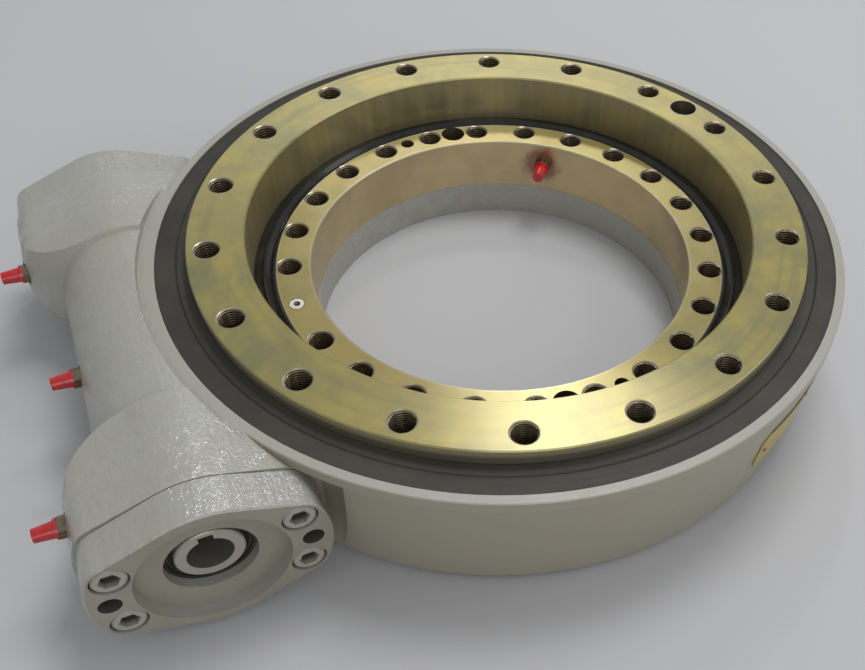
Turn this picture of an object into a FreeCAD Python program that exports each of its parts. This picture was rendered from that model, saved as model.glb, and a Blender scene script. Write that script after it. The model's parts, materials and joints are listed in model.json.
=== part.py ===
import FreeCAD, Part
import math
import os

# Slewing worm drive, in millimetres.
# The slew axis is Z through the origin, and the housing stands on Z = 0.
# The worm axis runs along Y on the -X side of the slew ring.

V = FreeCAD.Vector
Z_AXIS = V(0, 0, 1)
Y_AXIS = V(0, 1, 0)
ORIGIN = V(0, 0, 0)

# Worm gear set
gear_module = 5.0
wheel_teeth = 84
worm_pitch_r = 27.2
pressure_angle = 20.0
mesh_backlash = 0.70
tooth_root_gap = 0.25
wheel_face_width = 48.0
worm_thread_turns = 8
worm_axis_z = 52.1

# Heights of the drive
ring_top_z = 102.0
ring_stand = 10.2
inner_top_z = 67.5
inner_bottom_z = 26.6
ball_plane_z = 44.0
output_bottom_z = 22.0
floor_gap = 7.0

# Output ring
output_ring_width = 36.5
neck_step = 2.25
neck_gap = 1.9
output_hole_inset = 13.0
output_hole_count = 18
output_hole_first_deg = 10.25
output_hole_depth = 34.0
output_locating_r = 10.0
output_locating_depth = 12.0
output_step_rise = 3.5
output_edge_chamfer = 0.8
output_bore_chamfer = 1.0

# Inner ring
inner_hole_inset = 26.0
inner_bore_inset = 14.5
inner_hole_count = 24
inner_locating_r = 9.0
inner_locating_deg = 82.5
inner_edge_chamfer = 0.6
bolt_r = 8.0
bolt_mouth_r = 8.9
bolt_mouth_depth = 0.5

# Screws that hold the inner ring on the base from below
ring_screw_r = 5.0
ring_screw_deg = 97.5
ring_screw_head_r = 8.0
ring_screw_head_height = 10.0
ring_screw_seat_z = 13.0
ring_screw_reach = 30.0
ring_screw_hex = 8.0
ring_screw_seat_gap = 0.75

# Ball raceway
ball_r = 10.0
ball_circle_step = 2.5
ball_pitch = 22.5
race_clearance = 0.30
race_land_gap = 0.40
spacer_r = 6.5
spacer_end_gap = 0.15

# Filler plug of the raceway
filler_plug_r = 11.0
filler_plug_gap = 0.03
filler_pin_r = 5.5
filler_pin_hole_r = 2.2
filler_pin_hole_depth = 10.0

# Seals of the slew ring
seal_gap = 0.30
dust_seal_drop = 1.1
dust_seal_depth = 5.5
dust_groove_inset = 13.0
dust_lip_rise = 0.8
lip_seal_step = 9.2
lip_seal_depth = 9.0

# Housing
wheel_tip_gap = 1.5
wall_thickness = 15.5
rim_step = 1.0
rim_wall = 6.0
rim_band_height = 8.5
rim_chamfer = 0.6
rim_relief = 4.0
wall_foot_z = 4.0
wall_draft = 9.5
base_outer_inset = 11.5
base_bore_step = 0.3
base_seat_margin = 1.6
base_hole_r = 8.5
worm_bore_gap = 1.8
tube_wall = 11.5
joint_plane_y = 142.2
block_side_rise = 1.9
block_crown_rise = 0.3
block_shoulder_y = 108.0
block_root_y = 75.0
pocket_gap = 9.4
pocket_cover_gap = 1.6
pocket_corner_r = 23.0

# End covers, with the pilot and the two bolts of the motor flange
cover_screw_x = 48.4
cover_screw_z = 19.8
cover_corner_r = 12.2
cover_crown_rise = 2.8
cover_thickness = 24.5
gasket_thickness = 0.5
gasket_inset = 0.4
cover_edge_chamfer = 1.0
pilot_r = 41.3
pilot_depth = 8.1
motor_bolt_x = 53.2
motor_bolt_r = 6.0
cover_screw_r = 6.0
cover_screw_head_r = 9.0
cover_screw_head_height = 12.0
cover_screw_head_chamfer = 0.8
cover_screw_hex = 10.0
cover_screw_reach = 22.0
counterbore_gap = 1.0
counterbore_depth = 12.6
screw_clearance = 0.05
spigot_length = 4.0
spigot_clearance = 0.05
spigot_wall = 5.0
spigot_recess = 1.5
far_recess_r = 30.0
far_recess_depth = 5.0

# Worm shaft and its bearings
shaft_end_inset = 11.35
shaft_seal_seat_r = 18.9
shaft_way_gap = 2.1
motor_bore_r = 12.5
motor_bore_depth = 52.0
keyway_width = 8.0
keyway_top = 15.8
keyway_length = 46.0
bearing_bore_r = 20.0
bearing_width = 19.0
cone_wall = 3.0
cone_rise = 2.2
cone_rib = 3.0
cone_rib_width = 2.5
cup_inset = 1.5
cup_wall = 1.9
roller_taper = 0.8
roller_count = 20
roller_play = 0.35
roller_end_gap = 3.5
roller_end_play = 1.0
cage_thickness = 1.2
cage_lift = 0.8
shaft_shoulder_r = 24.0
shaft_shoulder_width = 5.0
shaft_fillet = 3.0
shaft_chamfer = 0.8
shaft_seal_width = 8.0
shaft_seal_wall = 6.1
shaft_seal_inset = 14.0
shaft_seal_gap = 0.10
far_shaft_clearance = 3.0

# Grease nipples and caps
nipple_hex = 11.0
nipple_hex_height = 5.0
nipple_seat_margin = 1.0
nipple_thread_r = 4.0
nipple_thread_length = 7.0
nipple_neck_r = 2.4
nipple_length = 15.0
nipple_head_r = 3.3
cap_root_r = 5.2
cap_tip_r = 4.0
cap_length = 13.0
cap_collar = 0.9
cap_collar_width = 1.6
cap_clearance = 0.3
near_nipple_y = -119.0
near_nipple_rise = 14.0
mid_nipple_y = -5.0
mid_nipple_rise = 7.0
far_nipple_y = 100.0
far_nipple_rise = 11.0
bore_nipple_deg = 52.5
bore_nipple_z = 49.0

# Nameplate, left blank
plate_start_deg = -70.0
plate_span_deg = 17.5
plate_low_z = 30.0
plate_height = 39.0
plate_thickness = 0.8
plate_gap = 0.10
plate_corner_r = 12.0
rivet_r = 1.6
rivet_height = 0.9
rivet_inset = 6.0

# Allowances of the modelling itself
overcut = 1.0
far_overcut = 60.0

# Worked out from the sizes above
wheel_pitch_r = gear_module * wheel_teeth / 2
worm_x = -(wheel_pitch_r + worm_pitch_r)
axial_pitch = math.pi * gear_module
wheel_tip_r = wheel_pitch_r + gear_module
wheel_root_r = wheel_pitch_r - gear_module * (1 + tooth_root_gap)
wheel_low_z = worm_axis_z - wheel_face_width / 2
wheel_high_z = worm_axis_z + wheel_face_width / 2
worm_tip_r = worm_pitch_r + gear_module
worm_root_r = worm_pitch_r - gear_module * (1 + tooth_root_gap)
rim_top_z = ring_top_z - ring_stand
output_outer_r = wheel_root_r + neck_step
output_hole_circle_r = output_outer_r - output_hole_inset
output_bore_r = output_outer_r - output_ring_width
ball_circle_r = output_bore_r + ball_circle_step
ball_count = int(2 * math.pi * ball_circle_r / ball_pitch)
inner_hole_circle_r = ball_circle_r - inner_hole_inset
inner_bore_r = inner_hole_circle_r - inner_bore_inset
lip_seal_inner_r = inner_hole_circle_r + lip_seal_step
neck_start_z = wheel_high_z + neck_gap
cavity_floor_z = output_bottom_z - floor_gap
cavity_r = wheel_tip_r + wheel_tip_gap
wall_outer_r = cavity_r + wall_thickness
rim_outer_r = wall_outer_r + rim_step
base_outer_r = cavity_r - base_outer_inset
rim_low_z = rim_top_z - rim_band_height
dust_seal_outer_r = rim_outer_r - rim_wall
dust_groove_r = dust_seal_outer_r - dust_groove_inset
dust_seal_top_z = rim_top_z - dust_seal_drop
dust_seat_z = dust_seal_top_z - dust_seal_depth
lip_seat_z = inner_top_z - lip_seal_depth
output_step_z = lip_seat_z + output_step_rise
groove_r = ball_r + race_clearance
inner_land_r = ball_circle_r - race_land_gap
output_land_r = ball_circle_r + race_land_gap
base_bore_r = inner_bore_r - base_bore_step
base_seat_r = inner_land_r - base_seat_margin
tube_bore_r = worm_tip_r + worm_bore_gap
tube_outer_r = tube_bore_r + tube_wall
cover_side_r = math.hypot(cover_screw_x, cover_screw_z) + cover_corner_r
cover_crown_r = tube_outer_r + cover_crown_rise
block_side_r = cover_side_r + block_side_rise
block_crown_r = cover_crown_r + block_crown_rise
cover_face_y = joint_plane_y + gasket_thickness + cover_thickness
counterbore_r = cover_screw_head_r + counterbore_gap
nipple_corner_r = nipple_hex / math.sqrt(3)
spigot_inner_r = tube_bore_r - spigot_wall
bearing_outer_y = joint_plane_y - spigot_length
bearing_inner_y = bearing_outer_y - bearing_width
shoulder_inner_y = bearing_inner_y - shaft_shoulder_width
roller_low_y = bearing_inner_y + cone_rib_width
roller_high_y = bearing_outer_y - roller_end_gap
cone_small_r = bearing_bore_r + cone_wall
cone_large_r = cone_small_r + cone_rise
roller_large_d = tube_bore_r - cup_wall - cone_large_r - 2 * roller_play
roller_small_d = roller_large_d - roller_taper
seal_housing_r = shaft_seal_seat_r + shaft_seal_wall
shaft_near_y = -(cover_face_y - shaft_end_inset)
shaft_far_y = joint_plane_y - far_shaft_clearance
WORM_LINE = V(worm_x, 0, worm_axis_z)

os.makedirs("parts", exist_ok=True)


def save(name, shape):
    """Write one sub-part and say how many solids it has and their volume."""
    shape.exportStep("parts/%s.step" % name)
    facts = (name, len(shape.Solids), shape.Volume, shape.isValid())
    print("%-24s solids %3d  volume %12.1f  valid %s" % facts)


def polar(radius, degrees, z=0.0):
    """A point at a radius and an angle about the slew axis."""
    angle = math.radians(degrees)
    return V(radius * math.cos(angle), radius * math.sin(angle), z)


def cylinder(radius, start, direction, length):
    """A cylinder from a start point along a direction."""
    return Part.makeCylinder(radius, length, start, direction)


def upright(radius, low_z, high_z, x=0.0, y=0.0):
    """A vertical cylinder between two heights."""
    return Part.makeCylinder(radius, high_z - low_z, V(x, y, low_z), Z_AXIS)


def along_worm(radius, low_y, high_y, dx=0.0, dz=0.0):
    """A cylinder along the worm axis between two Y places."""
    return Part.makeCylinder(radius, high_y - low_y, V(worm_x + dx, low_y, worm_axis_z + dz), Y_AXIS)


def profile_face(points):
    """A face from points, where a pair (point, middle) is an arc through its middle to that point."""
    edges = []
    first = points[0]
    last = first
    for item in list(points[1:]) + [first]:
        if isinstance(item, tuple):
            end, middle = item
            edges.append(Part.Arc(last, middle, end).toShape())
        else:
            end = item
            if (end - last).Length > 1e-6:
                edges.append(Part.LineSegment(last, end).toShape())
        last = end
    return Part.Face(Part.Wire(edges))


def turned(points):
    """Turn a profile of (radius, z) points about the slew axis."""
    face = profile_face([V(r, 0, z) for r, z in points])
    return face.revolve(ORIGIN, Z_AXIS, 360)


def turned_on_worm(points):
    """Turn a profile of (radius, y) points about the worm axis."""
    face = profile_face([V(worm_x + r, y, worm_axis_z) for r, y in points])
    return face.revolve(WORM_LINE, Y_AXIS, 360)


def hexagon(across_flats, start, direction, length):
    """A hexagonal prism from a start point along a direction."""
    corner_r = across_flats / math.sqrt(3)
    points = [polar(corner_r, 60 * i) for i in range(6)]
    face = Part.Face(Part.makePolygon(points + [points[0]]))
    prism = face.extrude(V(0, 0, length))
    prism.Placement = FreeCAD.Placement(start, FreeCAD.Rotation(Z_AXIS, direction))
    return prism


def mirrored_y(shape):
    """The same piece at the other end of the worm."""
    return shape.mirror(ORIGIN, Y_AXIS)


def spread(piece, count, first_deg=0.0, skip=()):
    """Copies of a piece around the slew axis."""
    copies = []
    for i in range(count):
        if i in skip:
            continue
        copy = piece.copy()
        copy.rotate(ORIGIN, Z_AXIS, first_deg + 360.0 * i / count)
        copies.append(copy)
    return copies


# Outline that the end covers and the housing's end blocks share
def end_outline(side_r, crown_r, y, length):
    """Crowned top and bottom, straight slopes, and round ends about the worm axis."""
    reach = math.hypot(cover_screw_x, cover_screw_z)
    corner_r = side_r - reach
    lean = math.atan2(cover_screw_z, cover_screw_x)
    slope = lean + math.acos((crown_r - corner_r) / reach)

    def at(radius, angle, cx=0.0, cz=0.0):
        return V(worm_x + cx + radius * math.cos(angle), y, worm_axis_z + cz + radius * math.sin(angle))

    def quarter(sign_x, sign_z):
        turn = lambda a: math.atan2(sign_z * math.sin(a), sign_x * math.cos(a))
        cx, cz = sign_x * cover_screw_x, sign_z * cover_screw_z
        crown_end = at(crown_r, turn(slope))
        corner_start = at(corner_r, turn(slope), cx, cz)
        corner_middle = at(corner_r, turn((slope + lean) / 2), cx, cz)
        side_start = at(side_r, turn(lean))
        return crown_end, corner_start, corner_middle, side_start

    ne, se, sw, nw = quarter(1, 1), quarter(1, -1), quarter(-1, -1), quarter(-1, 1)
    points = [ne[0], ne[1], (ne[3], ne[2]), (se[3], at(side_r, 0)), (se[1], se[2]), se[0]]
    points += [(sw[0], at(crown_r, -math.pi / 2)), sw[1], (sw[3], sw[2])]
    points += [(nw[3], at(side_r, math.pi)), (nw[1], nw[2]), nw[0]]
    points += [(ne[0], at(crown_r, math.pi / 2))]
    return profile_face(points).extrude(V(0, length, 0))


def cover_screw_places():
    """The four cover screws, as offsets from the worm axis."""
    return [(sx * cover_screw_x, sz * cover_screw_z) for sx in (-1, 1) for sz in (-1, 1)]


# Housing casting
def wall_radius_at(z):
    """Outer radius of the ring wall, which is drafted for casting, at a height."""
    return wall_outer_r - wall_draft * (rim_low_z - z) / (rim_low_z - wall_foot_z)


def block_radius_at(y):
    """Radius of an end block's rounded shoulder at a distance along the worm."""
    run = block_shoulder_y - block_root_y
    rise = block_side_r - tube_outer_r
    bend = (run * run + rise * rise) / (2 * rise)
    back = max(0.0, block_shoulder_y - y)
    return block_side_r - bend + math.sqrt(bend * bend - back * back)


def end_block():
    """The far end block, which grows out of the tube with a rounded shoulder."""
    middle_y = (block_root_y + block_shoulder_y) / 2
    block = end_outline(block_side_r, block_crown_r, block_root_y, joint_plane_y - block_root_y)

    def at(radius, y):
        return V(worm_x + radius, y, worm_axis_z)

    shoulder = profile_face([
        at(0, block_root_y), at(tube_outer_r, block_root_y),
        (at(block_side_r, block_shoulder_y), at(block_radius_at(middle_y), middle_y)),
        at(block_side_r + overcut, block_shoulder_y), at(block_side_r + overcut, joint_plane_y + overcut),
        at(0, joint_plane_y + overcut)])
    return block.common(shoulder.revolve(WORM_LINE, Y_AXIS, 360))


def cover_pocket():
    """The hollow beside a cover, whose side bends away from the cover into the ring wall."""
    side_x = worm_x + cover_side_r + pocket_gap
    start_x = worm_x + cover_side_r + pocket_cover_gap
    far_x = worm_x - cover_side_r - far_overcut
    far_y = joint_plane_y + 2 * far_overcut
    rise = side_x - start_x
    run = math.sqrt(2 * pocket_corner_r * rise - rise * rise)
    middle_x = side_x - pocket_corner_r + math.sqrt(pocket_corner_r ** 2 - run * run / 4)

    def at(x, y):
        return V(x, y, -overcut)

    outline = profile_face([
        at(start_x, joint_plane_y), (at(side_x, joint_plane_y + run), at(middle_x, joint_plane_y + run / 2)),
        at(side_x, far_y), at(far_x, far_y), at(far_x, joint_plane_y)])
    return outline.extrude(V(0, 0, rim_low_z + overcut))


def housing():
    ring = turned([
        (base_bore_r, 0), (base_outer_r, 0), (base_outer_r, wall_foot_z),
        (wall_radius_at(wall_foot_z), wall_foot_z), (wall_outer_r, rim_low_z),
        (rim_outer_r, rim_low_z + rim_step), (rim_outer_r, rim_top_z - rim_chamfer),
        (rim_outer_r - rim_chamfer, rim_top_z), (base_bore_r, rim_top_z)])
    tube = along_worm(tube_outer_r, overcut - joint_plane_y, joint_plane_y - overcut)
    block = end_block()
    body = ring.fuse([tube, block, mirrored_y(block)])

    cavity = turned([
        (0, inner_bottom_z), (base_seat_r, inner_bottom_z), (base_seat_r, cavity_floor_z),
        (cavity_r, cavity_floor_z), (cavity_r, dust_seat_z), (dust_seal_outer_r, dust_seat_z),
        (dust_seal_outer_r, rim_top_z + overcut), (0, rim_top_z + overcut)])
    relief = upright(rim_outer_r + rim_relief, rim_top_z, ring_top_z + far_overcut)
    worm_bore = along_worm(tube_bore_r, -joint_plane_y - overcut, joint_plane_y + overcut)
    pocket = cover_pocket()
    tools = [cavity, relief, worm_bore, pocket, mirrored_y(pocket)]
    hole_start_y = joint_plane_y - cover_screw_reach - overcut
    for dx, dz in cover_screw_places():
        hole = along_worm(cover_screw_r + screw_clearance, hole_start_y, joint_plane_y + overcut, dx, dz)
        tools += [hole, mirrored_y(hole)]
    base_hole = upright(base_hole_r, -overcut, inner_bottom_z + overcut, inner_hole_circle_r)
    tools += spread(base_hole, inner_hole_count)
    locating = upright(inner_locating_r, -overcut, inner_bottom_z + overcut, inner_hole_circle_r)
    tools += spread(locating, 2, inner_locating_deg)
    way_r = ring_screw_r + screw_clearance
    seat_r = ring_screw_head_r + ring_screw_seat_gap
    screw_way = upright(way_r, -overcut, inner_bottom_z + overcut, inner_hole_circle_r)
    screw_seat = upright(seat_r, -overcut, ring_screw_seat_z, inner_hole_circle_r)
    tools += spread(screw_way.fuse(screw_seat), 2, ring_screw_deg)
    for place, direction in nipple_places()[:3]:
        length = nipple_thread_length + overcut
        tools.append(cylinder(nipple_thread_r, place - direction * length, direction, length + overcut))
        tools.append(cylinder(nipple_corner_r + nipple_seat_margin, place, direction, nipple_length))
    return body.cut(tools)


# Slew ring
def raceway():
    """The ball groove, cut half from each ring."""
    return Part.makeTorus(ball_circle_r, groove_r, V(0, 0, ball_plane_z), Z_AXIS)


def tapped_hole(low_z, top_z, circle_r):
    """A threaded hole's major diameter with its chamfered mouth, on the +X side."""
    hole = upright(bolt_r, low_z, top_z + overcut, circle_r)
    mouth_start = V(circle_r, 0, top_z - bolt_mouth_depth)
    mouth = Part.makeCone(bolt_r, bolt_mouth_r, bolt_mouth_depth, mouth_start, Z_AXIS)
    return hole.fuse(mouth)


def inner_ring():
    chamfer = inner_edge_chamfer
    ring = turned([
        (inner_bore_r, inner_bottom_z), (inner_land_r, inner_bottom_z), (inner_land_r, lip_seat_z),
        (lip_seal_inner_r, lip_seat_z), (lip_seal_inner_r, inner_top_z - chamfer),
        (lip_seal_inner_r - chamfer, inner_top_z), (inner_bore_r + chamfer, inner_top_z),
        (inner_bore_r, inner_top_z - chamfer)])
    low_z = inner_bottom_z - overcut
    high_z = inner_top_z + overcut
    tools = [raceway()]
    plug_position = inner_hole_count // 2
    hole = tapped_hole(low_z, inner_top_z, inner_hole_circle_r)
    tools += spread(hole, inner_hole_count, 0, (plug_position,))
    tools += spread(upright(inner_locating_r, low_z, high_z, inner_hole_circle_r), 2, inner_locating_deg)
    tools += spread(upright(ring_screw_r, low_z, high_z, inner_hole_circle_r), 2, ring_screw_deg)
    tools.append(plug_bar(filler_plug_r, overcut, overcut))
    tools.append(upright(filler_pin_r, ball_plane_z, high_z, -inner_hole_circle_r))
    outward = polar(1, bore_nipple_deg)
    start = polar(inner_bore_r - overcut * 5, bore_nipple_deg, bore_nipple_z)
    tools.append(cylinder(nipple_thread_r, start, outward, nipple_thread_length + overcut * 6))
    return ring.cut(tools)


def plug_bar(radius, inner_extra, outer_extra):
    """The filler plug's round bar, from the bore to the raceway side of the inner ring."""
    length = inner_land_r - inner_bore_r + inner_extra + outer_extra
    return cylinder(radius, V(inner_extra - inner_bore_r, 0, ball_plane_z), V(-1, 0, 0), length)


def filler_plug():
    plug = plug_bar(filler_plug_r - filler_plug_gap, 0, 0)
    plug = plug.common(turned([(inner_bore_r, inner_bottom_z), (inner_land_r, inner_bottom_z),
                               (inner_land_r, inner_top_z), (inner_bore_r, inner_top_z)]))
    pin = upright(filler_pin_r, ball_plane_z, inner_top_z, -inner_hole_circle_r)
    return plug.cut([raceway(), pin])


def filler_plug_pin():
    pin = upright(filler_pin_r, ball_plane_z, inner_top_z, -inner_hole_circle_r)
    puller_z = inner_top_z - filler_pin_hole_depth
    return pin.cut(upright(filler_pin_hole_r, puller_z, inner_top_z + overcut, -inner_hole_circle_r))


def ring_screws():
    head_z = ring_screw_seat_z - ring_screw_head_height
    head = upright(ring_screw_head_r, head_z, ring_screw_seat_z, inner_hole_circle_r)
    tip_z = ring_screw_seat_z + ring_screw_reach
    shank = upright(ring_screw_r, ring_screw_seat_z, tip_z, inner_hole_circle_r)
    socket_depth = ring_screw_head_height / 2
    socket_start = V(inner_hole_circle_r, 0, head_z - overcut)
    socket = hexagon(ring_screw_hex, socket_start, Z_AXIS, socket_depth + overcut)
    return Part.makeCompound(spread(head.fuse(shank).cut(socket), 2, ring_screw_deg))


def involute(angle):
    """The angle that an involute has swept where its pressure angle is this."""
    return math.tan(angle) - angle


def wheel_tooth_half_angle(radius):
    """Half the angle that a wheel tooth takes at a radius, for an involute flank."""
    at_pitch = math.radians(pressure_angle)
    base_r = wheel_pitch_r * math.cos(at_pitch)
    half_pitch_tooth = (axial_pitch - mesh_backlash) / 4 / wheel_pitch_r
    return half_pitch_tooth + involute(at_pitch) - involute(math.acos(base_r / radius))


def wheel_outline(z):
    """The wheel's tooth outline at a height, turned to follow the worm's lead."""
    twist = (z - worm_axis_z) * axial_pitch / (2 * math.pi * worm_pitch_r) / wheel_pitch_r
    pitch = 2 * math.pi / wheel_teeth
    root_half = wheel_tooth_half_angle(wheel_root_r)
    tip_half = wheel_tooth_half_angle(wheel_tip_r)
    corners = [(wheel_root_r, -root_half), (wheel_tip_r, -tip_half),
               (wheel_tip_r, tip_half), (wheel_root_r, root_half)]
    points = []
    for i in range(wheel_teeth):
        centre = math.pi + (i + 0.5) * pitch + twist
        for radius, offset in corners:
            angle = centre + offset
            points.append(V(radius * math.cos(angle), radius * math.sin(angle), z))
    return Part.makePolygon(points + [points[0]])


def output_ring():
    chamfer = output_edge_chamfer
    step = overcut
    blank = turned([
        (output_land_r, output_bottom_z), (wheel_root_r - step, output_bottom_z),
        (wheel_root_r, output_bottom_z + step), (wheel_root_r, neck_start_z),
        (output_outer_r, neck_start_z + step), (output_outer_r, ring_top_z - chamfer),
        (output_outer_r - chamfer, ring_top_z), (output_bore_r + output_bore_chamfer, ring_top_z),
        (output_bore_r, ring_top_z - output_bore_chamfer), (output_bore_r, output_step_z),
        (output_land_r, output_step_z - step)])
    teeth = Part.makeLoft([wheel_outline(wheel_low_z), wheel_outline(wheel_high_z)], True, True)
    core = upright(wheel_root_r - gear_module, wheel_low_z - overcut, wheel_high_z + overcut)
    ring = blank.fuse(teeth.cut(core))
    hole_low_z = ring_top_z - output_hole_depth
    tip_start = V(output_hole_circle_r, 0, hole_low_z - bolt_r / 2)
    drill_tip = Part.makeCone(0, bolt_r, bolt_r / 2, tip_start, Z_AXIS)
    hole = tapped_hole(hole_low_z, ring_top_z, output_hole_circle_r).fuse(drill_tip)
    tools = [raceway()] + spread(hole, output_hole_count, output_hole_first_deg)
    locating_low_z = ring_top_z - output_locating_depth
    locating = upright(output_locating_r, locating_low_z, ring_top_z + overcut, output_hole_circle_r)
    tools += spread(locating, 1, output_hole_first_deg + 180.0 / output_hole_count)
    return ring.cut(tools)


def ring_balls():
    ball = Part.makeSphere(ball_r, V(ball_circle_r, 0, ball_plane_z))
    return Part.makeCompound(spread(ball, ball_count))


def ball_spacers():
    half_step = math.pi / ball_count
    centre = V(ball_circle_r * math.cos(half_step), 0, ball_plane_z)
    half_length = ball_circle_r * math.sin(half_step)
    spacer = cylinder(spacer_r, centre - Y_AXIS * half_length, Y_AXIS, 2 * half_length)
    ends = [centre - Y_AXIS * half_length, centre + Y_AXIS * half_length]
    hollows = [Part.makeSphere(ball_r + spacer_end_gap, end) for end in ends]
    return Part.makeCompound(spread(spacer.cut(hollows), ball_count, 180.0 / ball_count))


def outer_dust_seal():
    """A wide flat rubber ring with a shallow groove and a lip that wipes the output ring."""
    lip_r = output_outer_r + seal_gap
    low_r = cavity_r + dust_lip_rise
    low_z = dust_seat_z + dust_seal_depth / 2
    return turned([
        (low_r, dust_seat_z), (dust_seal_outer_r, dust_seat_z), (dust_seal_outer_r, dust_seal_top_z),
        (dust_groove_r + dust_lip_rise, dust_seal_top_z), (dust_groove_r, dust_seal_top_z - dust_lip_rise),
        (dust_groove_r - dust_lip_rise, dust_seal_top_z), (lip_r + 3 * dust_lip_rise, dust_seal_top_z),
        (lip_r, dust_seal_top_z + dust_lip_rise), (lip_r, low_z), (low_r, low_z)])


def inner_lip_seal():
    """A seal ring with one lip that rubs the output ring and one standing dust lip."""
    rub_r = output_bore_r - seal_gap
    depth = lip_seal_depth
    top_z = inner_top_z - seal_gap
    return turned([
        (lip_seal_inner_r, lip_seat_z), (rub_r - 0.20 * depth, lip_seat_z),
        (rub_r - 0.45 * depth, lip_seat_z + 0.35 * depth),
        (rub_r, lip_seat_z + 0.65 * depth), (rub_r, lip_seat_z + 0.75 * depth),
        (rub_r - 0.55 * depth, top_z - 0.15 * depth), (rub_r - 0.70 * depth, top_z + 0.13 * depth),
        (rub_r - 0.90 * depth, top_z + 0.13 * depth), (lip_seal_inner_r + 0.35 * depth, top_z - 0.15 * depth),
        (lip_seal_inner_r + 0.13 * depth, top_z), (lip_seal_inner_r, top_z)])


# End covers and what seals them
def cover_blank():
    """A cover at the far end, with its screw holes and spigot."""
    start_y = joint_plane_y + gasket_thickness
    plate = end_outline(cover_side_r, cover_crown_r, start_y, cover_thickness)
    front = [e for e in plate.Edges if min(v.Y for v in e.Vertexes) > cover_face_y - overcut / 10]
    plate = plate.makeChamfer(cover_edge_chamfer, front)
    spigot = along_worm(tube_bore_r - spigot_clearance, joint_plane_y - spigot_length, start_y)
    low_y = joint_plane_y - overcut
    high_y = cover_face_y + overcut
    tools = []
    for dx, dz in cover_screw_places():
        tools.append(along_worm(cover_screw_r + screw_clearance, low_y, high_y, dx, dz))
        tools.append(along_worm(counterbore_r, cover_face_y - counterbore_depth, high_y, dx, dz))
    for side in (-1, 1):
        tools.append(along_worm(motor_bolt_r, low_y, high_y, side * motor_bolt_x))
    return plate.fuse(spigot).cut(tools)


def near_cover():
    """The motor end's cover, with its pilot recess, seal housing and way for the shaft."""
    face_y = -cover_face_y
    spigot_end_y = -(joint_plane_y - spigot_length)
    shaft_way_r = shaft_seal_seat_r + shaft_way_gap
    return mirrored_y(cover_blank()).cut([
        along_worm(pilot_r, face_y - overcut, face_y + pilot_depth),
        along_worm(seal_housing_r, face_y, face_y + shaft_seal_inset + shaft_seal_width),
        along_worm(shaft_way_r, face_y, spigot_end_y + overcut),
        along_worm(spigot_inner_r, spigot_end_y - spigot_recess, spigot_end_y + overcut)])


def far_cover():
    """The closed cover, with a shallow round recess outside and room for the shaft's end inside."""
    recess = along_worm(far_recess_r, cover_face_y - far_recess_depth, cover_face_y + overcut)
    shaft_room = along_worm(spigot_inner_r, joint_plane_y - spigot_length - overcut, joint_plane_y + overcut)
    return cover_blank().cut([recess, shaft_room])


def far_cover_gasket():
    start_y = joint_plane_y - overcut
    end_y = joint_plane_y + gasket_thickness + overcut
    side_r = cover_side_r - gasket_inset
    crown_r = cover_crown_r - gasket_inset
    sheet = end_outline(side_r, crown_r, joint_plane_y, gasket_thickness)
    tools = [along_worm(tube_bore_r, start_y, end_y)]
    for dx, dz in cover_screw_places():
        tools.append(along_worm(cover_screw_r + screw_clearance, start_y, end_y, dx, dz))
    return sheet.cut(tools)


def far_cover_screws():
    seat_y = cover_face_y - counterbore_depth
    head_end_y = seat_y + cover_screw_head_height
    socket_depth = cover_screw_head_height / 2
    screws = []
    for dx, dz in cover_screw_places():
        head = along_worm(cover_screw_head_r, seat_y, head_end_y, dx, dz)
        rim = [e for e in head.Edges if e.Closed and e.CenterOfMass.y > head_end_y - overcut / 10]
        head = head.makeChamfer(cover_screw_head_chamfer, rim)
        shank = along_worm(cover_screw_r, joint_plane_y - cover_screw_reach, seat_y, dx, dz)
        start = V(worm_x + dx, head_end_y - socket_depth, worm_axis_z + dz)
        socket = hexagon(cover_screw_hex, start, Y_AXIS, socket_depth + overcut)
        screws.append(head.fuse(shank).cut(socket))
    return Part.makeCompound(screws)


def near_shaft_seal():
    """A lip seal with a shallow dish in its outer face and a spring side open to the bearing."""
    outer_y = shaft_seal_inset - cover_face_y
    inner_y = outer_y + shaft_seal_width
    bore_r = shaft_seal_seat_r + shaft_seal_gap
    wall = seal_housing_r - bore_r
    return turned_on_worm([
        (bore_r, outer_y + 0.16 * wall), (bore_r + 0.16 * wall, outer_y),
        (bore_r + 0.40 * wall, outer_y + 0.22 * wall), (bore_r + 0.60 * wall, outer_y + 0.22 * wall),
        (bore_r + 0.70 * wall, outer_y), (seal_housing_r, outer_y), (seal_housing_r, inner_y),
        (bore_r + 0.50 * wall, inner_y), (bore_r + 0.50 * wall, outer_y + 0.65 * wall),
        (bore_r, outer_y + 0.50 * wall)])


# Worm shaft and bearings
def worm_thread():
    """One right-hand thread, its ridge centred on the wheel's mid plane in the middle of the worm."""
    length = worm_thread_turns * axial_pitch
    slope = math.tan(math.radians(pressure_angle))
    half_at_pitch = (axial_pitch - mesh_backlash) / 4
    half_at_tip = half_at_pitch - gear_module * slope
    sunk_r = worm_root_r - overcut
    half_at_root = half_at_pitch + (worm_pitch_r - sunk_r) * slope
    corners = [V(sunk_r, 0, -half_at_root), V(worm_tip_r, 0, -half_at_tip),
               V(worm_tip_r, 0, half_at_tip), V(sunk_r, 0, half_at_root)]
    section = Part.makePolygon(corners + [corners[0]])
    path = Part.Wire(Part.makeHelix(axial_pitch, length, worm_pitch_r).Edges)
    thread = path.makePipeShell([section], True, True)
    lay_along_y = FreeCAD.Rotation(V(1, 0, 0), -90)
    thread.Placement = FreeCAD.Placement(V(worm_x, -length / 2, worm_axis_z), lay_along_y)
    return thread


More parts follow.
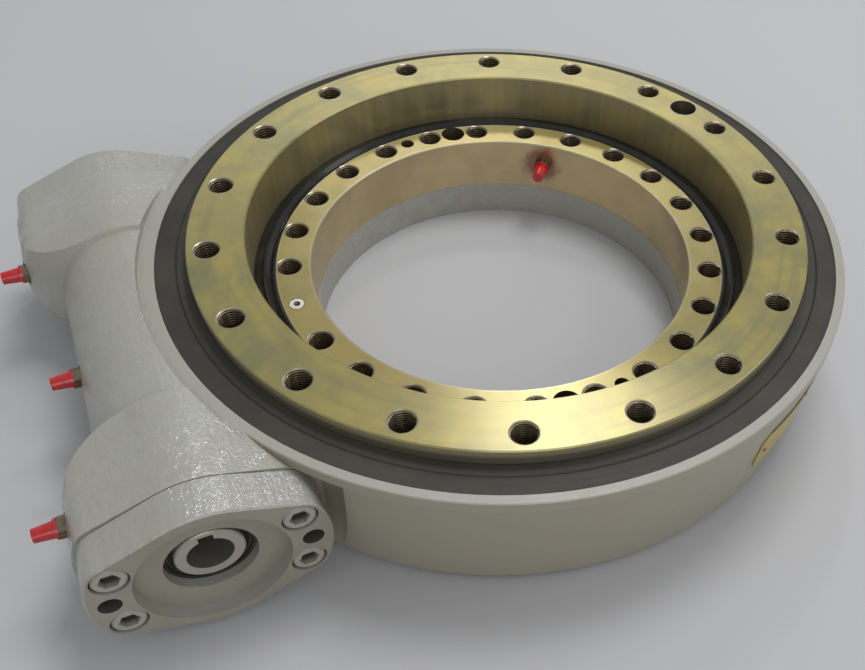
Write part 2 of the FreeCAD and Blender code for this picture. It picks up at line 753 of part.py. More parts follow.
def worm_shaft():
    """The whole shaft: thread, shoulders, bearing seats and the hollow keyed end for a motor."""
    core = turned_on_worm([
        (0, shaft_near_y), (shaft_seal_seat_r - shaft_chamfer, shaft_near_y),
        (shaft_seal_seat_r, shaft_near_y + shaft_chamfer), (shaft_seal_seat_r, -bearing_outer_y),
        (bearing_bore_r, shaft_chamfer - bearing_outer_y), (bearing_bore_r, -bearing_inner_y),
        (shaft_shoulder_r, -bearing_inner_y), (shaft_shoulder_r, -shoulder_inner_y),
        (worm_root_r, shaft_fillet - shoulder_inner_y), (worm_root_r, shoulder_inner_y - shaft_fillet),
        (shaft_shoulder_r, shoulder_inner_y), (shaft_shoulder_r, bearing_inner_y),
        (bearing_bore_r, bearing_inner_y), (bearing_bore_r, shaft_far_y - shaft_chamfer),
        (bearing_bore_r - shaft_chamfer, shaft_far_y), (0, shaft_far_y)])
    bore = along_worm(motor_bore_r, shaft_near_y - overcut, shaft_near_y + motor_bore_depth)
    keyway = Part.makeBox(keyway_width, keyway_length + overcut, keyway_top,
                          V(worm_x - keyway_width / 2, shaft_near_y - overcut, worm_axis_z))
    return core.fuse(worm_thread()).cut([bore, keyway])


def far_bearing_cone():
    """Inner race, with its ribbed large end against the shaft's shoulder."""
    small_rib_y = bearing_outer_y - cup_inset
    return turned_on_worm([
        (bearing_bore_r, bearing_inner_y), (cone_large_r + cone_rib, bearing_inner_y),
        (cone_large_r + cone_rib, roller_low_y), (cone_large_r, roller_low_y), (cone_small_r, roller_high_y),
        (cone_small_r + cone_rib / 2, roller_high_y), (cone_small_r + cone_rib / 2, small_rib_y),
        (bearing_bore_r, small_rib_y)])


def cup_track_r(y):
    """Radius of the outer race's track at a place along the worm."""
    large_r = cone_large_r + roller_large_d + 2 * roller_play
    small_r = cone_small_r + roller_small_d + 2 * roller_play
    share = (y - roller_low_y) / (roller_high_y - roller_low_y)
    return large_r + (small_r - large_r) * share


def far_bearing_cup():
    """Outer race, with its thick end against the cover's spigot."""
    inner_y = bearing_inner_y + cup_inset
    return turned_on_worm([
        (tube_bore_r, inner_y), (tube_bore_r, bearing_outer_y),
        (cup_track_r(bearing_outer_y), bearing_outer_y), (cup_track_r(inner_y), inner_y)])


def roller_axis_ends():
    """Radii of the rollers' axes at their large and small ends."""
    low_r = cone_large_r + roller_play + roller_large_d / 2
    high_r = cone_small_r + roller_play + roller_small_d / 2
    return low_r, high_r


def spread_on_worm(piece, count):
    """Copies of a piece around the worm axis."""
    copies = []
    for i in range(count):
        copy = piece.copy()
        copy.rotate(WORM_LINE, Y_AXIS, 360.0 * i / count)
        copies.append(copy)
    return copies


def far_bearing_rollers():
    low_r, high_r = roller_axis_ends()
    start_y = roller_low_y + roller_end_play
    end_y = roller_high_y - roller_end_play
    axis = V(0, end_y - start_y, high_r - low_r)
    start = V(worm_x, start_y, worm_axis_z + low_r)
    roller = Part.makeCone(roller_large_d / 2, roller_small_d / 2, axis.Length, start, axis)
    return Part.makeCompound(spread_on_worm(roller, roller_count))


def far_bearing_cage():
    """Sheet cage: two hoops and the bars between the rollers."""
    low_r, high_r = [r + cage_lift for r in roller_axis_ends()]
    half = cage_thickness / 2
    low_y = roller_low_y - cone_rib_width / 2
    high_y = roller_high_y + cone_rib_width / 2
    cage = turned_on_worm([(low_r - half, low_y), (low_r + half, low_y),
                           (high_r + half, high_y), (high_r - half, high_y)])
    width = roller_large_d + screw_clearance
    window = Part.makeBox(width, roller_high_y - roller_low_y, bearing_width,
                          V(worm_x - width / 2, roller_low_y, worm_axis_z + bearing_bore_r))
    return cage.cut(spread_on_worm(window, roller_count))


# Grease nipples, caps and small parts
def nipple_places():
    """The seat of each nipple, set just below the curved surface round it, and its direction."""
    heights = [(near_nipple_y, near_nipple_rise), (mid_nipple_y, mid_nipple_rise),
               (far_nipple_y, far_nipple_rise)]
    places = []
    for y, rise in heights:
        on_block = abs(y) > block_root_y
        radius = block_radius_at(abs(y) - nipple_corner_r) if on_block else tube_outer_r
        edge = rise + nipple_corner_r
        reach = math.sqrt(radius * radius - edge * edge)
        places.append((V(worm_x - reach, y, worm_axis_z + rise), V(-1, 0, 0)))
    bore_reach = math.sqrt(inner_bore_r * inner_bore_r - nipple_corner_r * nipple_corner_r)
    places.append((polar(bore_reach, bore_nipple_deg, bore_nipple_z), polar(-1, bore_nipple_deg)))
    return places


def grease_nipple(place, direction):
    thread_start = place - direction * nipple_thread_length
    thread = cylinder(nipple_thread_r, thread_start, direction, nipple_thread_length + overcut)
    head = hexagon(nipple_hex, place, direction, nipple_hex_height)
    neck = cylinder(nipple_neck_r, place, direction, nipple_length - nipple_head_r)
    ball = Part.makeSphere(nipple_head_r, place + direction * (nipple_length - nipple_head_r))
    flat = cylinder(nipple_head_r, place + direction * (nipple_length - overcut), direction, nipple_head_r)
    return thread.fuse([head, neck, ball]).cut(flat)


def nipple_cap(place, direction):
    start = place + direction * nipple_hex_height
    skin = Part.makeCone(cap_root_r, cap_tip_r, cap_length, start, direction)
    collar = cylinder(cap_root_r + cap_collar, start, direction, cap_collar_width)
    room_length = nipple_length - nipple_hex_height + 2 * overcut
    room = cylinder(nipple_head_r + cap_clearance, start - direction * overcut, direction, room_length)
    return skin.fuse(collar).cut(room)


def nameplate():
    """A thin plate bent round the wall, with rounded ends."""
    high_z = plate_low_z + plate_height
    low_r = wall_radius_at(plate_low_z) + plate_gap
    high_r = wall_radius_at(high_z) + plate_gap
    band = turned([(low_r, plate_low_z), (low_r + plate_thickness, plate_low_z),
                   (high_r + plate_thickness, high_z), (high_r, high_z)])
    width = 2 * wall_outer_r * math.sin(math.radians(plate_span_deg / 2))
    blank = Part.makeBox(2 * wall_outer_r, width, plate_height, V(0, -width / 2, plate_low_z))
    corners = [e for e in blank.Edges if e.BoundBox.XLength > overcut]
    blank = blank.makeFillet(plate_corner_r, corners)
    blank.rotate(ORIGIN, Z_AXIS, plate_start_deg + plate_span_deg / 2)
    return band.common(blank)


def nameplate_rivets():
    rivets = []
    arc_inset = math.degrees(rivet_inset / wall_outer_r)
    ball_size = rivet_r * 1.25
    middle_z = plate_low_z + plate_height / 2
    slope = wall_draft / (rim_low_z - wall_foot_z)
    for degrees in (plate_start_deg + arc_inset, plate_start_deg + plate_span_deg - arc_inset):
        outward = polar(1, degrees, -slope).normalize()
        top = polar(wall_radius_at(middle_z) + plate_gap + plate_thickness, degrees, middle_z)
        head = Part.makeSphere(ball_size, top - outward * (ball_size - rivet_height))
        rivets.append(head.common(cylinder(2 * rivet_r, top, outward, 2 * rivet_height)))
    return Part.makeCompound(rivets)


save("housing", housing())
save("inner_ring", inner_ring())
save("filler_plug", filler_plug())
save("filler_plug_pin", filler_plug_pin())
save("ring_screws", ring_screws())
save("output_ring", output_ring())
save("ring_balls", ring_balls())
save("ball_spacers", ball_spacers())
save("outer_dust_seal", outer_dust_seal())
save("inner_lip_seal", inner_lip_seal())
save("near_cover", near_cover())
save("far_cover", far_cover())
save("near_cover_gasket", mirrored_y(far_cover_gasket()))
save("far_cover_gasket", far_cover_gasket())
save("near_cover_screws", mirrored_y(far_cover_screws()))
save("far_cover_screws", far_cover_screws())
save("near_shaft_seal", near_shaft_seal())
save("worm_shaft", worm_shaft())
save("near_bearing_cone", mirrored_y(far_bearing_cone()))
save("far_bearing_cone", far_bearing_cone())
save("near_bearing_cup", mirrored_y(far_bearing_cup()))
save("far_bearing_cup", far_bearing_cup())
save("near_bearing_rollers", mirrored_y(far_bearing_rollers()))
save("far_bearing_rollers", far_bearing_rollers())
save("near_bearing_cage", mirrored_y(far_bearing_cage()))
save("far_bearing_cage", far_bearing_cage())
for label, (place, direction) in zip(("near", "mid", "far", "bore"), nipple_places()):
    save("grease_nipple_" + label, grease_nipple(place, direction))
    save("nipple_cap_" + label, nipple_cap(place, direction))
save("nameplate", nameplate())
save("nameplate_rivets", nameplate_rivets())
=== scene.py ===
# %% [markdown]
# A slewing worm drive turns a heavy ring slowly and holds it still. We dress its engineering model: plated
# rings, painted cast iron, rubber seals, and the screw threads that the engineering solids leave out.
# The model comes in as a fixed frame in metres. We never move it, we only give it finishes and add pieces.

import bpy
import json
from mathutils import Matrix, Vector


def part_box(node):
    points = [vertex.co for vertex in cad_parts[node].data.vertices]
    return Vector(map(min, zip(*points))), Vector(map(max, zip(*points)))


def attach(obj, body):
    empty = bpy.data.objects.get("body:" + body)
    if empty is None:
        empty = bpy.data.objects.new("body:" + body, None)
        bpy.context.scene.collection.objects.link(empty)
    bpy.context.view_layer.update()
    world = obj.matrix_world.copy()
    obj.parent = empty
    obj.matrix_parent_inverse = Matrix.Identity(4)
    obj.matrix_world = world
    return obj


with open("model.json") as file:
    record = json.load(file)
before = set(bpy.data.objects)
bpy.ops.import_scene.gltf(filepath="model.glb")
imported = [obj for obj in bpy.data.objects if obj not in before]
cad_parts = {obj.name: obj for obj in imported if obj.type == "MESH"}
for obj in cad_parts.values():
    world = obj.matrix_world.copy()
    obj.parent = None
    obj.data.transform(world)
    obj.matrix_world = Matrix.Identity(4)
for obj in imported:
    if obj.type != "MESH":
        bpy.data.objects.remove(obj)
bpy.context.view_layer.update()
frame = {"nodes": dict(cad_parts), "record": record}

import json
import math

import bpy
from mathutils import Matrix, Vector

NODES = frame["nodes"]

# %% [markdown]
# The finishes need to know where things are. We read heights and radii from the boxes of the model's own
# pieces, so a changed model moves the paint lines and the thread with it.

# %% Sizes read from the model
MM = 0.001


def top_of(name):
    """Height of a node's highest point."""
    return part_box(name)[1].z


def radius_of(name):
    """Outer radius of a node that is round about the slew axis."""
    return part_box(name)[1].x


RING_TOP = top_of("output_ring")
INNER_TOP = top_of("inner_ring")
SEAL_RADIUS = radius_of("outer_dust_seal")
WORM_X = sum(corner.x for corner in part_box("worm_shaft")) / 2
WORM_Z = sum(corner.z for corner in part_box("worm_shaft")) / 2

MOUNTS = {mount["name"]: mount for mount in frame["record"]["mounts"]}
OUTPUT_CIRCLE = MOUNTS["output_bolts"]["dims"]["pcd_mm"] * MM / 2
OUTPUT_COUNT = MOUNTS["output_bolts"]["dims"]["count"]
OUTPUT_FIRST_ANGLE = math.radians(10.25)
INNER_CIRCLE = MOUNTS["base_bolts"]["dims"]["pcd_mm"] * MM / 2
INNER_COUNT = MOUNTS["base_bolts"]["dims"]["count"]
THREAD_RADIUS = MOUNTS["output_bolts"]["dims"]["hole_r_mm"] * MM
PIN_RADIUS = MOUNTS["output_pin"]["dims"]["hole_r_mm"] * MM
INNER_BORE = INNER_CIRCLE - 14.5 * MM
INNER_LAND = INNER_CIRCLE + 9.2 * MM
print("ring top %.4f, worm axis at x %.4f z %.4f" % (RING_TOP, WORM_X, WORM_Z))

# %% [markdown]
# Every finish is a tree of shader nodes. A few small helpers keep the trees readable. One makes a node and
# fills its inputs, whether with numbers or with links. The others make the sums and mixes that come back all
# the time, and the last two start a group and put it to use.

# %% Helpers for node trees


def add(tree, kind, inputs=None, **settings):
    """Make a node. An input's value is a number, a tuple or another node's socket."""
    node = tree.nodes.new(kind)
    for name, value in settings.items():
        setattr(node, name, value)
    for key, value in (inputs or {}).items():
        if isinstance(value, bpy.types.NodeSocket):
            tree.links.new(value, node.inputs[key])
        else:
            node.inputs[key].default_value = value
    return node


def calc(tree, operation, *values):
    """A Math node's result. It serves shader trees and geometry trees alike."""
    return add(tree, "ShaderNodeMath", dict(enumerate(values)), operation=operation).outputs[0]


def ramp(tree, value, low, high, out_low=0.0, out_high=1.0):
    """A smooth step from one value to another between two places."""
    inputs = {"Value": value, "From Min": low, "From Max": high, "To Min": out_low, "To Max": out_high}
    return add(tree, "ShaderNodeMapRange", inputs, interpolation_type="SMOOTHSTEP").outputs["Result"]


def times(tree, *values):
    """The product of two or more values."""
    product = values[0]
    for value in values[1:]:
        product = calc(tree, "MULTIPLY", product, value)
    return product


def vary(tree, base, share, pattern):
    """A base value that grows by a share of a pattern."""
    return calc(tree, "ADD", base, calc(tree, "MULTIPLY", pattern, share))


def mix_colour(tree, factor, first, second):
    """Two colours mixed: the first where the factor is 0, the second where it is 1."""
    node = add(tree, "ShaderNodeMix", data_type="RGBA")
    for index, value in ((0, factor), (6, first), (7, second)):
        if isinstance(value, bpy.types.NodeSocket):
            tree.links.new(value, node.inputs[index])
        else:
            node.inputs[index].default_value = value if index == 0 else (*value, 1.0)
    return node.outputs[2]


def new_group(name, inputs, outputs):
    """An empty shader group with named inputs and outputs: the group, what it is given, what it gives."""
    print("group %s gives: %s" % (name, ", ".join(outputs)))
    group = bpy.data.node_groups.new(name, "ShaderNodeTree")
    for label, default in inputs.items():
        socket = group.interface.new_socket(label, in_out="INPUT", socket_type="NodeSocketFloat")
        socket.default_value = default
    for label in outputs:
        kind = "NodeSocketVector" if label == "Direction" else "NodeSocketFloat"
        group.interface.new_socket(label, in_out="OUTPUT", socket_type=kind)
    return group, group.nodes.new("NodeGroupInput").outputs, group.nodes.new("NodeGroupOutput").inputs


def place(tree, group, **inputs):
    """Put a group in a material, with its own values. Underscores stand for spaces in the input names."""
    node = tree.nodes.new("ShaderNodeGroup")
    node.node_tree = group
    for label, value in inputs.items():
        socket = node.inputs[label.replace("_", " ").capitalize()]
        if isinstance(value, bpy.types.NodeSocket):
            tree.links.new(value, socket)
        else:
            socket.default_value = value
    return node.outputs


# %% [markdown]
# Most of this object is round about one axis, so many marks follow circles. This group turns the place on
# the surface into a radius, an angle and a height, and says how far the surface faces up. Unwrapping each ring
# would give such coordinates too, but this way they hold for every piece at once, and for any size.

# %% Group: round coordinates
ROUND, given, result = new_group("Round coordinates", {}, ["Radius", "Angle", "Height", "Facing up"])
here = add(ROUND, "ShaderNodeTexCoord").outputs["Object"]
axes = add(ROUND, "ShaderNodeSeparateXYZ", {0: here}).outputs
flat = add(ROUND, "ShaderNodeCombineXYZ", {0: axes[0], 1: axes[1]}).outputs[0]
from_axis = add(ROUND, "ShaderNodeVectorMath", {0: flat}, operation="LENGTH").outputs["Value"]
normal = add(ROUND, "ShaderNodeNewGeometry").outputs["Normal"]
ROUND.links.new(from_axis, result["Radius"])
ROUND.links.new(calc(ROUND, "ARCTAN2", axes[1], axes[0]), result["Angle"])
ROUND.links.new(axes[2], result["Height"])
ROUND.links.new(add(ROUND, "ShaderNodeSeparateXYZ", {0: normal}).outputs[2], result["Facing up"])

# %% [markdown]
# A lathe leaves fine circles on a turned face. Noise that is squeezed along the radius and stretched round
# the circle gives them: its grain is long in one direction and short in the other.

# %% Group: turned marks
TURNED, given, result = new_group("Turned marks", {"Fineness": 900.0, "Length": 6.0}, ["Marks"])
here = place(TURNED, ROUND)
around = calc(TURNED, "MULTIPLY", here["Angle"], given["Length"])
across = calc(TURNED, "MULTIPLY", here["Radius"], given["Fineness"])
upward = calc(TURNED, "MULTIPLY", here["Height"], given["Fineness"])
stretched = add(TURNED, "ShaderNodeCombineXYZ", {0: across, 1: around, 2: upward}).outputs[0]
grain = add(TURNED, "ShaderNodeTexNoise", {"Vector": stretched, "Scale": 1.0, "Detail": 3.0})
TURNED.links.new(grain.outputs["Fac"], result["Marks"])

# %% [markdown]
# Those circles also stretch every reflection across themselves. That is why a turned disc shows two bright
# wings that point at the lamp. A Principled shader needs the direction of the stretch, which is at a right
# angle both to the circle and to the surface.

# %% Group: across the turned marks
ACROSS, given, result = new_group("Across the turned marks", {}, ["Direction"])
here = add(ACROSS, "ShaderNodeTexCoord").outputs["Object"]
axes = add(ACROSS, "ShaderNodeSeparateXYZ", {0: here}).outputs
minus_y = calc(ACROSS, "MULTIPLY", axes[1], -1.0)
along = add(ACROSS, "ShaderNodeCombineXYZ", {0: minus_y, 1: axes[0]}).outputs[0]
normal = add(ACROSS, "ShaderNodeNewGeometry").outputs["Normal"]
sideways = add(ACROSS, "ShaderNodeVectorMath", {0: along, 1: normal}, operation="CROSS_PRODUCT").outputs[0]
unit = add(ACROSS, "ShaderNodeVectorMath", {0: sideways}, operation="NORMALIZE").outputs[0]
ACROSS.links.new(unit, result["Direction"])

# %% [markdown]
# Plating, paint and rubber are never even. Blotches are soft patches where one tint gives way to another.
# The cover input says how much of the surface they take, and the softness how gently they end.

# %% Group: blotches
BLOTCH, given, result = new_group(
    "Blotches", {"Scale": 12.0, "Cover": 0.5, "Softness": 0.1, "Detail": 4.0, "Seed": 0.0}, ["Mask"])
here = add(BLOTCH, "ShaderNodeTexCoord").outputs["Object"]
cloud = add(BLOTCH, "ShaderNodeTexNoise", {
    "Vector": here, "W": given["Seed"], "Scale": given["Scale"], "Detail": given["Detail"], "Roughness": 0.6},
    noise_dimensions="4D").outputs["Fac"]
edge = calc(BLOTCH, "SUBTRACT", 1.0, given["Cover"])
low = calc(BLOTCH, "SUBTRACT", edge, given["Softness"])
high = calc(BLOTCH, "ADD", edge, given["Softness"])
BLOTCH.links.new(ramp(BLOTCH, cloud, low, high), result["Mask"])

# %% [markdown]
# Each hole in a bolt circle is darkened inside with painted shade and has a bright chamfer at its mouth.
# Folding the angle by the number of holes makes every hole look like the first, so one distance serves them
# all.

# %% Group: holes of a bolt circle
HOLE_EDGE = (0.12 * MM, -0.05 * MM)
CHAMFER_EDGE = (1.15 * MM, 0.90 * MM)
HOLES, given, result = new_group(
    "Holes of a bolt circle", {"Circle radius": 0.1, "Count": 12.0, "First angle": 0.0, "Hole radius": 0.008},
    ["Distance", "Inside", "Mouth"])
here = place(HOLES, ROUND)
step = calc(HOLES, "DIVIDE", 2 * math.pi, given["Count"])
half_step = times(HOLES, step, 0.5)
shifted = calc(HOLES, "ADD", calc(HOLES, "SUBTRACT", here["Angle"], given["First angle"]), half_step)
folded = calc(HOLES, "SUBTRACT", calc(HOLES, "FLOORED_MODULO", shifted, step), half_step)
outward = times(HOLES, here["Radius"], calc(HOLES, "COSINE", folded))
east = calc(HOLES, "SUBTRACT", outward, given["Circle radius"])
north = times(HOLES, here["Radius"], calc(HOLES, "SINE", folded))
offset = add(HOLES, "ShaderNodeCombineXYZ", {0: east, 1: north}).outputs[0]
distance = add(HOLES, "ShaderNodeVectorMath", {0: offset}, operation="LENGTH").outputs["Value"]
beyond = calc(HOLES, "SUBTRACT", distance, given["Hole radius"])
inside = ramp(HOLES, beyond, *HOLE_EDGE)
mouth = times(HOLES, ramp(HOLES, beyond, *CHAMFER_EDGE), calc(HOLES, "SUBTRACT", 1.0, inside))
HOLES.links.new(distance, result["Distance"])
HOLES.links.new(inside, result["Inside"])
HOLES.links.new(mouth, result["Mouth"])

# %% [markdown]
# Cast iron keeps the grain of its sand mould under the paint, and thick gloss paint rounds that grain into
# an orange-peel skin. Two sizes of noise added together give a height for the bump.

# %% Group: cast skin
CAST_SKIN, given, result = new_group(
    "Cast skin", {"Grain": 160.0, "Lumps": 40.0, "Lump share": 0.6}, ["Height"])
here = add(CAST_SKIN, "ShaderNodeTexCoord").outputs["Object"]
fine = add(CAST_SKIN, "ShaderNodeTexNoise", {
    "Vector": here, "Scale": given["Grain"], "Detail": 2.0}).outputs["Fac"]
coarse = add(CAST_SKIN, "ShaderNodeTexNoise", {
    "Vector": here, "Scale": given["Lumps"], "Detail": 2.0}).outputs["Fac"]
both = vary(CAST_SKIN, fine, given["Lump share"], coarse)
CAST_SKIN.links.new(both, result["Height"])

# %% [markdown]
# A material here is a Principled shader fed by groups. The first helper makes one, the second fills its
# inputs, the third adds a bump whose depth is in millimetres, and the last gives the finish to its nodes.

# %% Helpers for materials


def new_material(name):
    """An empty material with a Principled shader: the material, its tree and the shader's inputs."""
    material = bpy.data.materials.new(name)
    material.use_nodes = True
    tree = material.node_tree
    return material, tree, tree.nodes["Principled BSDF"].inputs


def feed(tree, shader, **sources):
    """Link or set the shader's inputs. Underscores stand for spaces in the input names."""
    for label, value in sources.items():
        socket = shader[label.replace("_", " ")]
        if isinstance(value, bpy.types.NodeSocket):
            tree.links.new(value, socket)
        elif isinstance(value, tuple):
            socket.default_value = (*value, 1.0)
        else:
            socket.default_value = value


def bump(tree, shader, height, depth_mm, layer="Normal"):
    """Push the surface, or its clear coat, in and out by a height pattern, without moving the mesh."""
    node = add(tree, "ShaderNodeBump", {"Height": height, "Distance": depth_mm * MM})
    tree.links.new(node.outputs["Normal"], shader[layer])


def finish_nodes(material, *names):
    """Give a finish to nodes of the model."""
    for name in names:
        mesh = NODES[name].data
        mesh.materials.clear()
        mesh.materials.append(material)
    print("%s: %s" % (material.name, ", ".join(names)))


# %% [markdown]
# Grey machine enamel covers the casting. The sand-cast tube and its end blocks are grainy, and the glossy top
# of the enamel breaks a lamp's reflection into sparks, most of all on the end blocks. The ring's rim and wall
# were machined before painting. They are smoother, and the wall's upright faces get a warmer painted shade.
# A photograph of paint could be wrapped round the casting, but noise needs no unwrapping and never repeats.

# %% Finish: housing paint
PAINT_COOL = (0.350, 0.352, 0.318)
PAINT_WARM = (0.320, 0.290, 0.212)
PAINT_DARK = (0.150, 0.138, 0.105)
PAINT_FILM_INDEX = 1.75
WALL_RADIUS = 220 * MM
RIM_RADIUS = 234 * MM
BLOCK_START = 100 * MM
BLEND = 5 * MM
SKIN_DEPTH_MM = 0.42
PEEL_DEPTH_MM = 1.2
PEEL = {"grain": 450.0, "lumps": 220.0, "lump_share": 0.9}
housing_paint, tree, shader = new_material("grey enamel on cast iron")
here = place(tree, ROUND)
within_rim = ramp(tree, here["Radius"], RIM_RADIUS, RIM_RADIUS - 0.5 * MM)
on_wall = times(tree, within_rim, ramp(tree, here["Radius"], WALL_RADIUS - 1 * MM, WALL_RADIUS + 1 * MM))
upright_wall_shade = times(tree, on_wall, ramp(tree, here["Facing up"], 0.8, 0.5))
tone = place(tree, BLOTCH, scale=9.0, cover=0.5, softness=0.22, seed=2.0)["Mask"]
grime = place(tree, BLOTCH, scale=38.0, cover=0.33, softness=0.12, detail=7.0, seed=5.0)["Mask"]
colour = mix_colour(tree, times(tree, tone, 0.45), PAINT_COOL, PAINT_WARM)
# Painted shade: the upright faces of the ring wall are tinted warmer.
colour = mix_colour(tree, times(tree, upright_wall_shade, 0.8), colour, PAINT_WARM)
colour = mix_colour(tree, times(tree, grime, 0.12), colour, PAINT_DARK)
rough_cast = calc(tree, "SUBTRACT", 1.0, times(tree, on_wall, 0.85))
skin = place(tree, CAST_SKIN, grain=420.0, lumps=110.0, lump_share=0.7)["Height"]
bump(tree, shader, times(tree, skin, rough_cast), SKIN_DEPTH_MM)
peel = place(tree, CAST_SKIN, **PEEL)["Height"]
bump(tree, shader, times(tree, peel, rough_cast), PEEL_DEPTH_MM, "Coat Normal")
here = add(tree, "ShaderNodeTexCoord").outputs["Object"]
along_worm = calc(tree, "ABSOLUTE", add(tree, "ShaderNodeSeparateXYZ", {0: here}).outputs[1])
on_block = ramp(tree, along_worm, BLOCK_START - BLEND, BLOCK_START + BLEND, 0.25, 1.0)
flecks = place(tree, BLOTCH, scale=110.0, cover=0.50, softness=0.10, detail=3.0, seed=8.0)["Mask"]
feed(tree, shader, Base_Color=colour, Roughness=vary(tree, 0.32, 0.12, tone))
feed(tree, shader, Coat_Weight=times(tree, on_block, flecks, rough_cast), Coat_Roughness=0.06)
feed(tree, shader, Coat_IOR=PAINT_FILM_INDEX)
finish_nodes(housing_paint, "housing")

# %% [markdown]
# The end covers were painted with the drive assembled. Their sides are glossy and show the brush. Their front
# faces are flat, and tinted warmer and darker as painted shade. The two bolt holes for the motor carry no
# clear coat, and painted shade darkens them inside. Strokes could be modelled one by one, but noise stretched
# along the brush looks the same at this size.

# %% Finish: cover paint
COVER_FRONT_SHADE = (0.310, 0.290, 0.232)
COVER_FRONT_SHADE_DEEP = (0.262, 0.242, 0.190)
MOTOR_HOLE_SHADE = (0.020, 0.018, 0.014)
BRUSH_SCALE = (260.0, 30.0, 90.0)
COVER_SKIN_DEPTH_MM = 0.35
MOTOR_BOLTS = MOUNTS["motor_bolts"]["dims"]
cover_paint, tree, shader = new_material("grey enamel on covers")
here = add(tree, "ShaderNodeTexCoord").outputs["Object"]
axes = add(tree, "ShaderNodeSeparateXYZ", {0: here}).outputs
normal = add(tree, "ShaderNodeNewGeometry").outputs["Normal"]
facing_out = calc(tree, "ABSOLUTE", add(tree, "ShaderNodeSeparateXYZ", {0: normal}).outputs[1])
front = ramp(tree, facing_out, 0.80, 0.95)
from_worm = calc(tree, "ABSOLUTE", calc(tree, "SUBTRACT", axes[0], WORM_X))
sideways = calc(tree, "SUBTRACT", from_worm, MOTOR_BOLTS["spacing_x_mm"] * MM / 2)
upward = calc(tree, "SUBTRACT", axes[2], WORM_Z)
offset = add(tree, "ShaderNodeCombineXYZ", {0: sideways, 1: upward}).outputs[0]
from_bolt = add(tree, "ShaderNodeVectorMath", {0: offset}, operation="LENGTH").outputs["Value"]
bolt_radius = MOTOR_BOLTS["hole_r_mm"] * MM
in_bolt_hole = ramp(tree, from_bolt, bolt_radius + 0.2 * MM, bolt_radius - 0.1 * MM)
tone = place(tree, BLOTCH, scale=14.0, cover=0.5, softness=0.2, seed=9.0)["Mask"]
brushed = add(tree, "ShaderNodeMapping", {"Vector": here, "Scale": BRUSH_SCALE}).outputs[0]
streaks = add(tree, "ShaderNodeTexNoise", {"Vector": brushed, "Scale": 1.0, "Detail": 3.0}).outputs["Fac"]
side_colour = mix_colour(tree, times(tree, tone, 0.45), PAINT_COOL, PAINT_WARM)
# Painted shade: the front faces are tinted warmer and darker than the sides.
front_shade_colour = mix_colour(tree, tone, COVER_FRONT_SHADE, COVER_FRONT_SHADE_DEEP)
colour = mix_colour(tree, front, side_colour, front_shade_colour)
colour = mix_colour(tree, times(tree, streaks, 0.12), colour, PAINT_DARK)
# Painted shade inside the two motor bolt holes.
colour = mix_colour(tree, in_bolt_hole, colour, MOTOR_HOLE_SHADE)
skin = place(tree, CAST_SKIN, grain=380.0, lumps=120.0, lump_share=1.0)["Height"]
bump(tree, shader, vary(tree, streaks, 0.7, skin), COVER_SKIN_DEPTH_MM)
peel = calc(tree, "ADD", place(tree, CAST_SKIN, **PEEL)["Height"], streaks)
bump(tree, shader, peel, PEEL_DEPTH_MM, "Coat Normal")
shine = calc(tree, "SUBTRACT", 0.80, times(tree, front, 0.74))
painted = calc(tree, "SUBTRACT", 1.0, in_bolt_hole)
feed(tree, shader, Base_Color=colour, Roughness=vary(tree, 0.30, 0.14, streaks))
feed(tree, shader, Coat_Weight=times(tree, shine, painted), Coat_Roughness=0.08, Coat_IOR=PAINT_FILM_INDEX)
finish_nodes(cover_paint, "near_cover", "far_cover")

# %% [markdown]
# The screws wear the same enamel. Each hexagon socket gets darker with depth, as painted shade. The depth
# below the screws' faces does this in one material, with no face picked by hand.

# %% Finish: painted screws
SCREW_LIGHT = (0.350, 0.332, 0.275)
SCREW_DEEP = (0.270, 0.250, 0.198)
SOCKET_SHADE = (0.085, 0.080, 0.066)
SCREW_HEAD_Y = max(abs(corner.y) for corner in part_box("far_cover_screws"))
screw_paint, tree, shader = new_material("grey enamel on screws")
here = add(tree, "ShaderNodeTexCoord").outputs["Object"]
axes = add(tree, "ShaderNodeSeparateXYZ", {0: here}).outputs
depth = calc(tree, "SUBTRACT", SCREW_HEAD_Y, calc(tree, "ABSOLUTE", axes[1]))
inside = ramp(tree, depth, 1.0 * MM, 5.0 * MM)
tone = place(tree, BLOTCH, scale=90.0, cover=0.4, softness=0.1, seed=3.0)["Mask"]
colour = mix_colour(tree, times(tree, tone, 0.4), SCREW_LIGHT, SCREW_DEEP)
# Painted shade: darker deeper in the sockets.
colour = mix_colour(tree, inside, colour, SOCKET_SHADE)
skin = place(tree, CAST_SKIN, grain=500.0, lumps=200.0, lump_share=1.0)["Height"]
bump(tree, shader, skin, 0.12)
feed(tree, shader, Base_Color=colour, Roughness=0.32, Coat_Weight=0.3, Coat_Roughness=0.15)
finish_nodes(screw_paint, "near_cover_screws", "far_cover_screws")

# %% [markdown]
# Yellow-passivated zinc is a thin film on steel. It shifts between straw, olive and a pale cream. The film is
# clear enough to mirror white over the yellow metal, so the finish is only half metallic and its film has a
# high index. The tints are a group, and each ring mixes them in its own shares.

# %% Group: zinc tint
FILM_INDEX = 2.4
HALF_METAL = 0.55
TURNED_STRETCH = 0.8
TURNED_DEPTH_MM = 0.030
ZINC, given, result = new_group("Zinc tint", {"Seed": 1.0}, ["Olive", "Straw", "Bands", "Marks"])
second_seed = calc(ZINC, "ADD", given["Seed"], 3.0)
olive = place(ZINC, BLOTCH, scale=14.0, cover=0.46, softness=0.13, seed=given["Seed"])["Mask"]
straw = place(ZINC, BLOTCH, scale=34.0, cover=0.44, softness=0.16, seed=second_seed)["Mask"]
ZINC.links.new(olive, result["Olive"])
ZINC.links.new(straw, result["Straw"])
ZINC.links.new(place(ZINC, TURNED, fineness=170.0, length=1.3)["Marks"], result["Bands"])
ZINC.links.new(place(ZINC, TURNED, fineness=1500.0, length=5.0)["Marks"], result["Marks"])
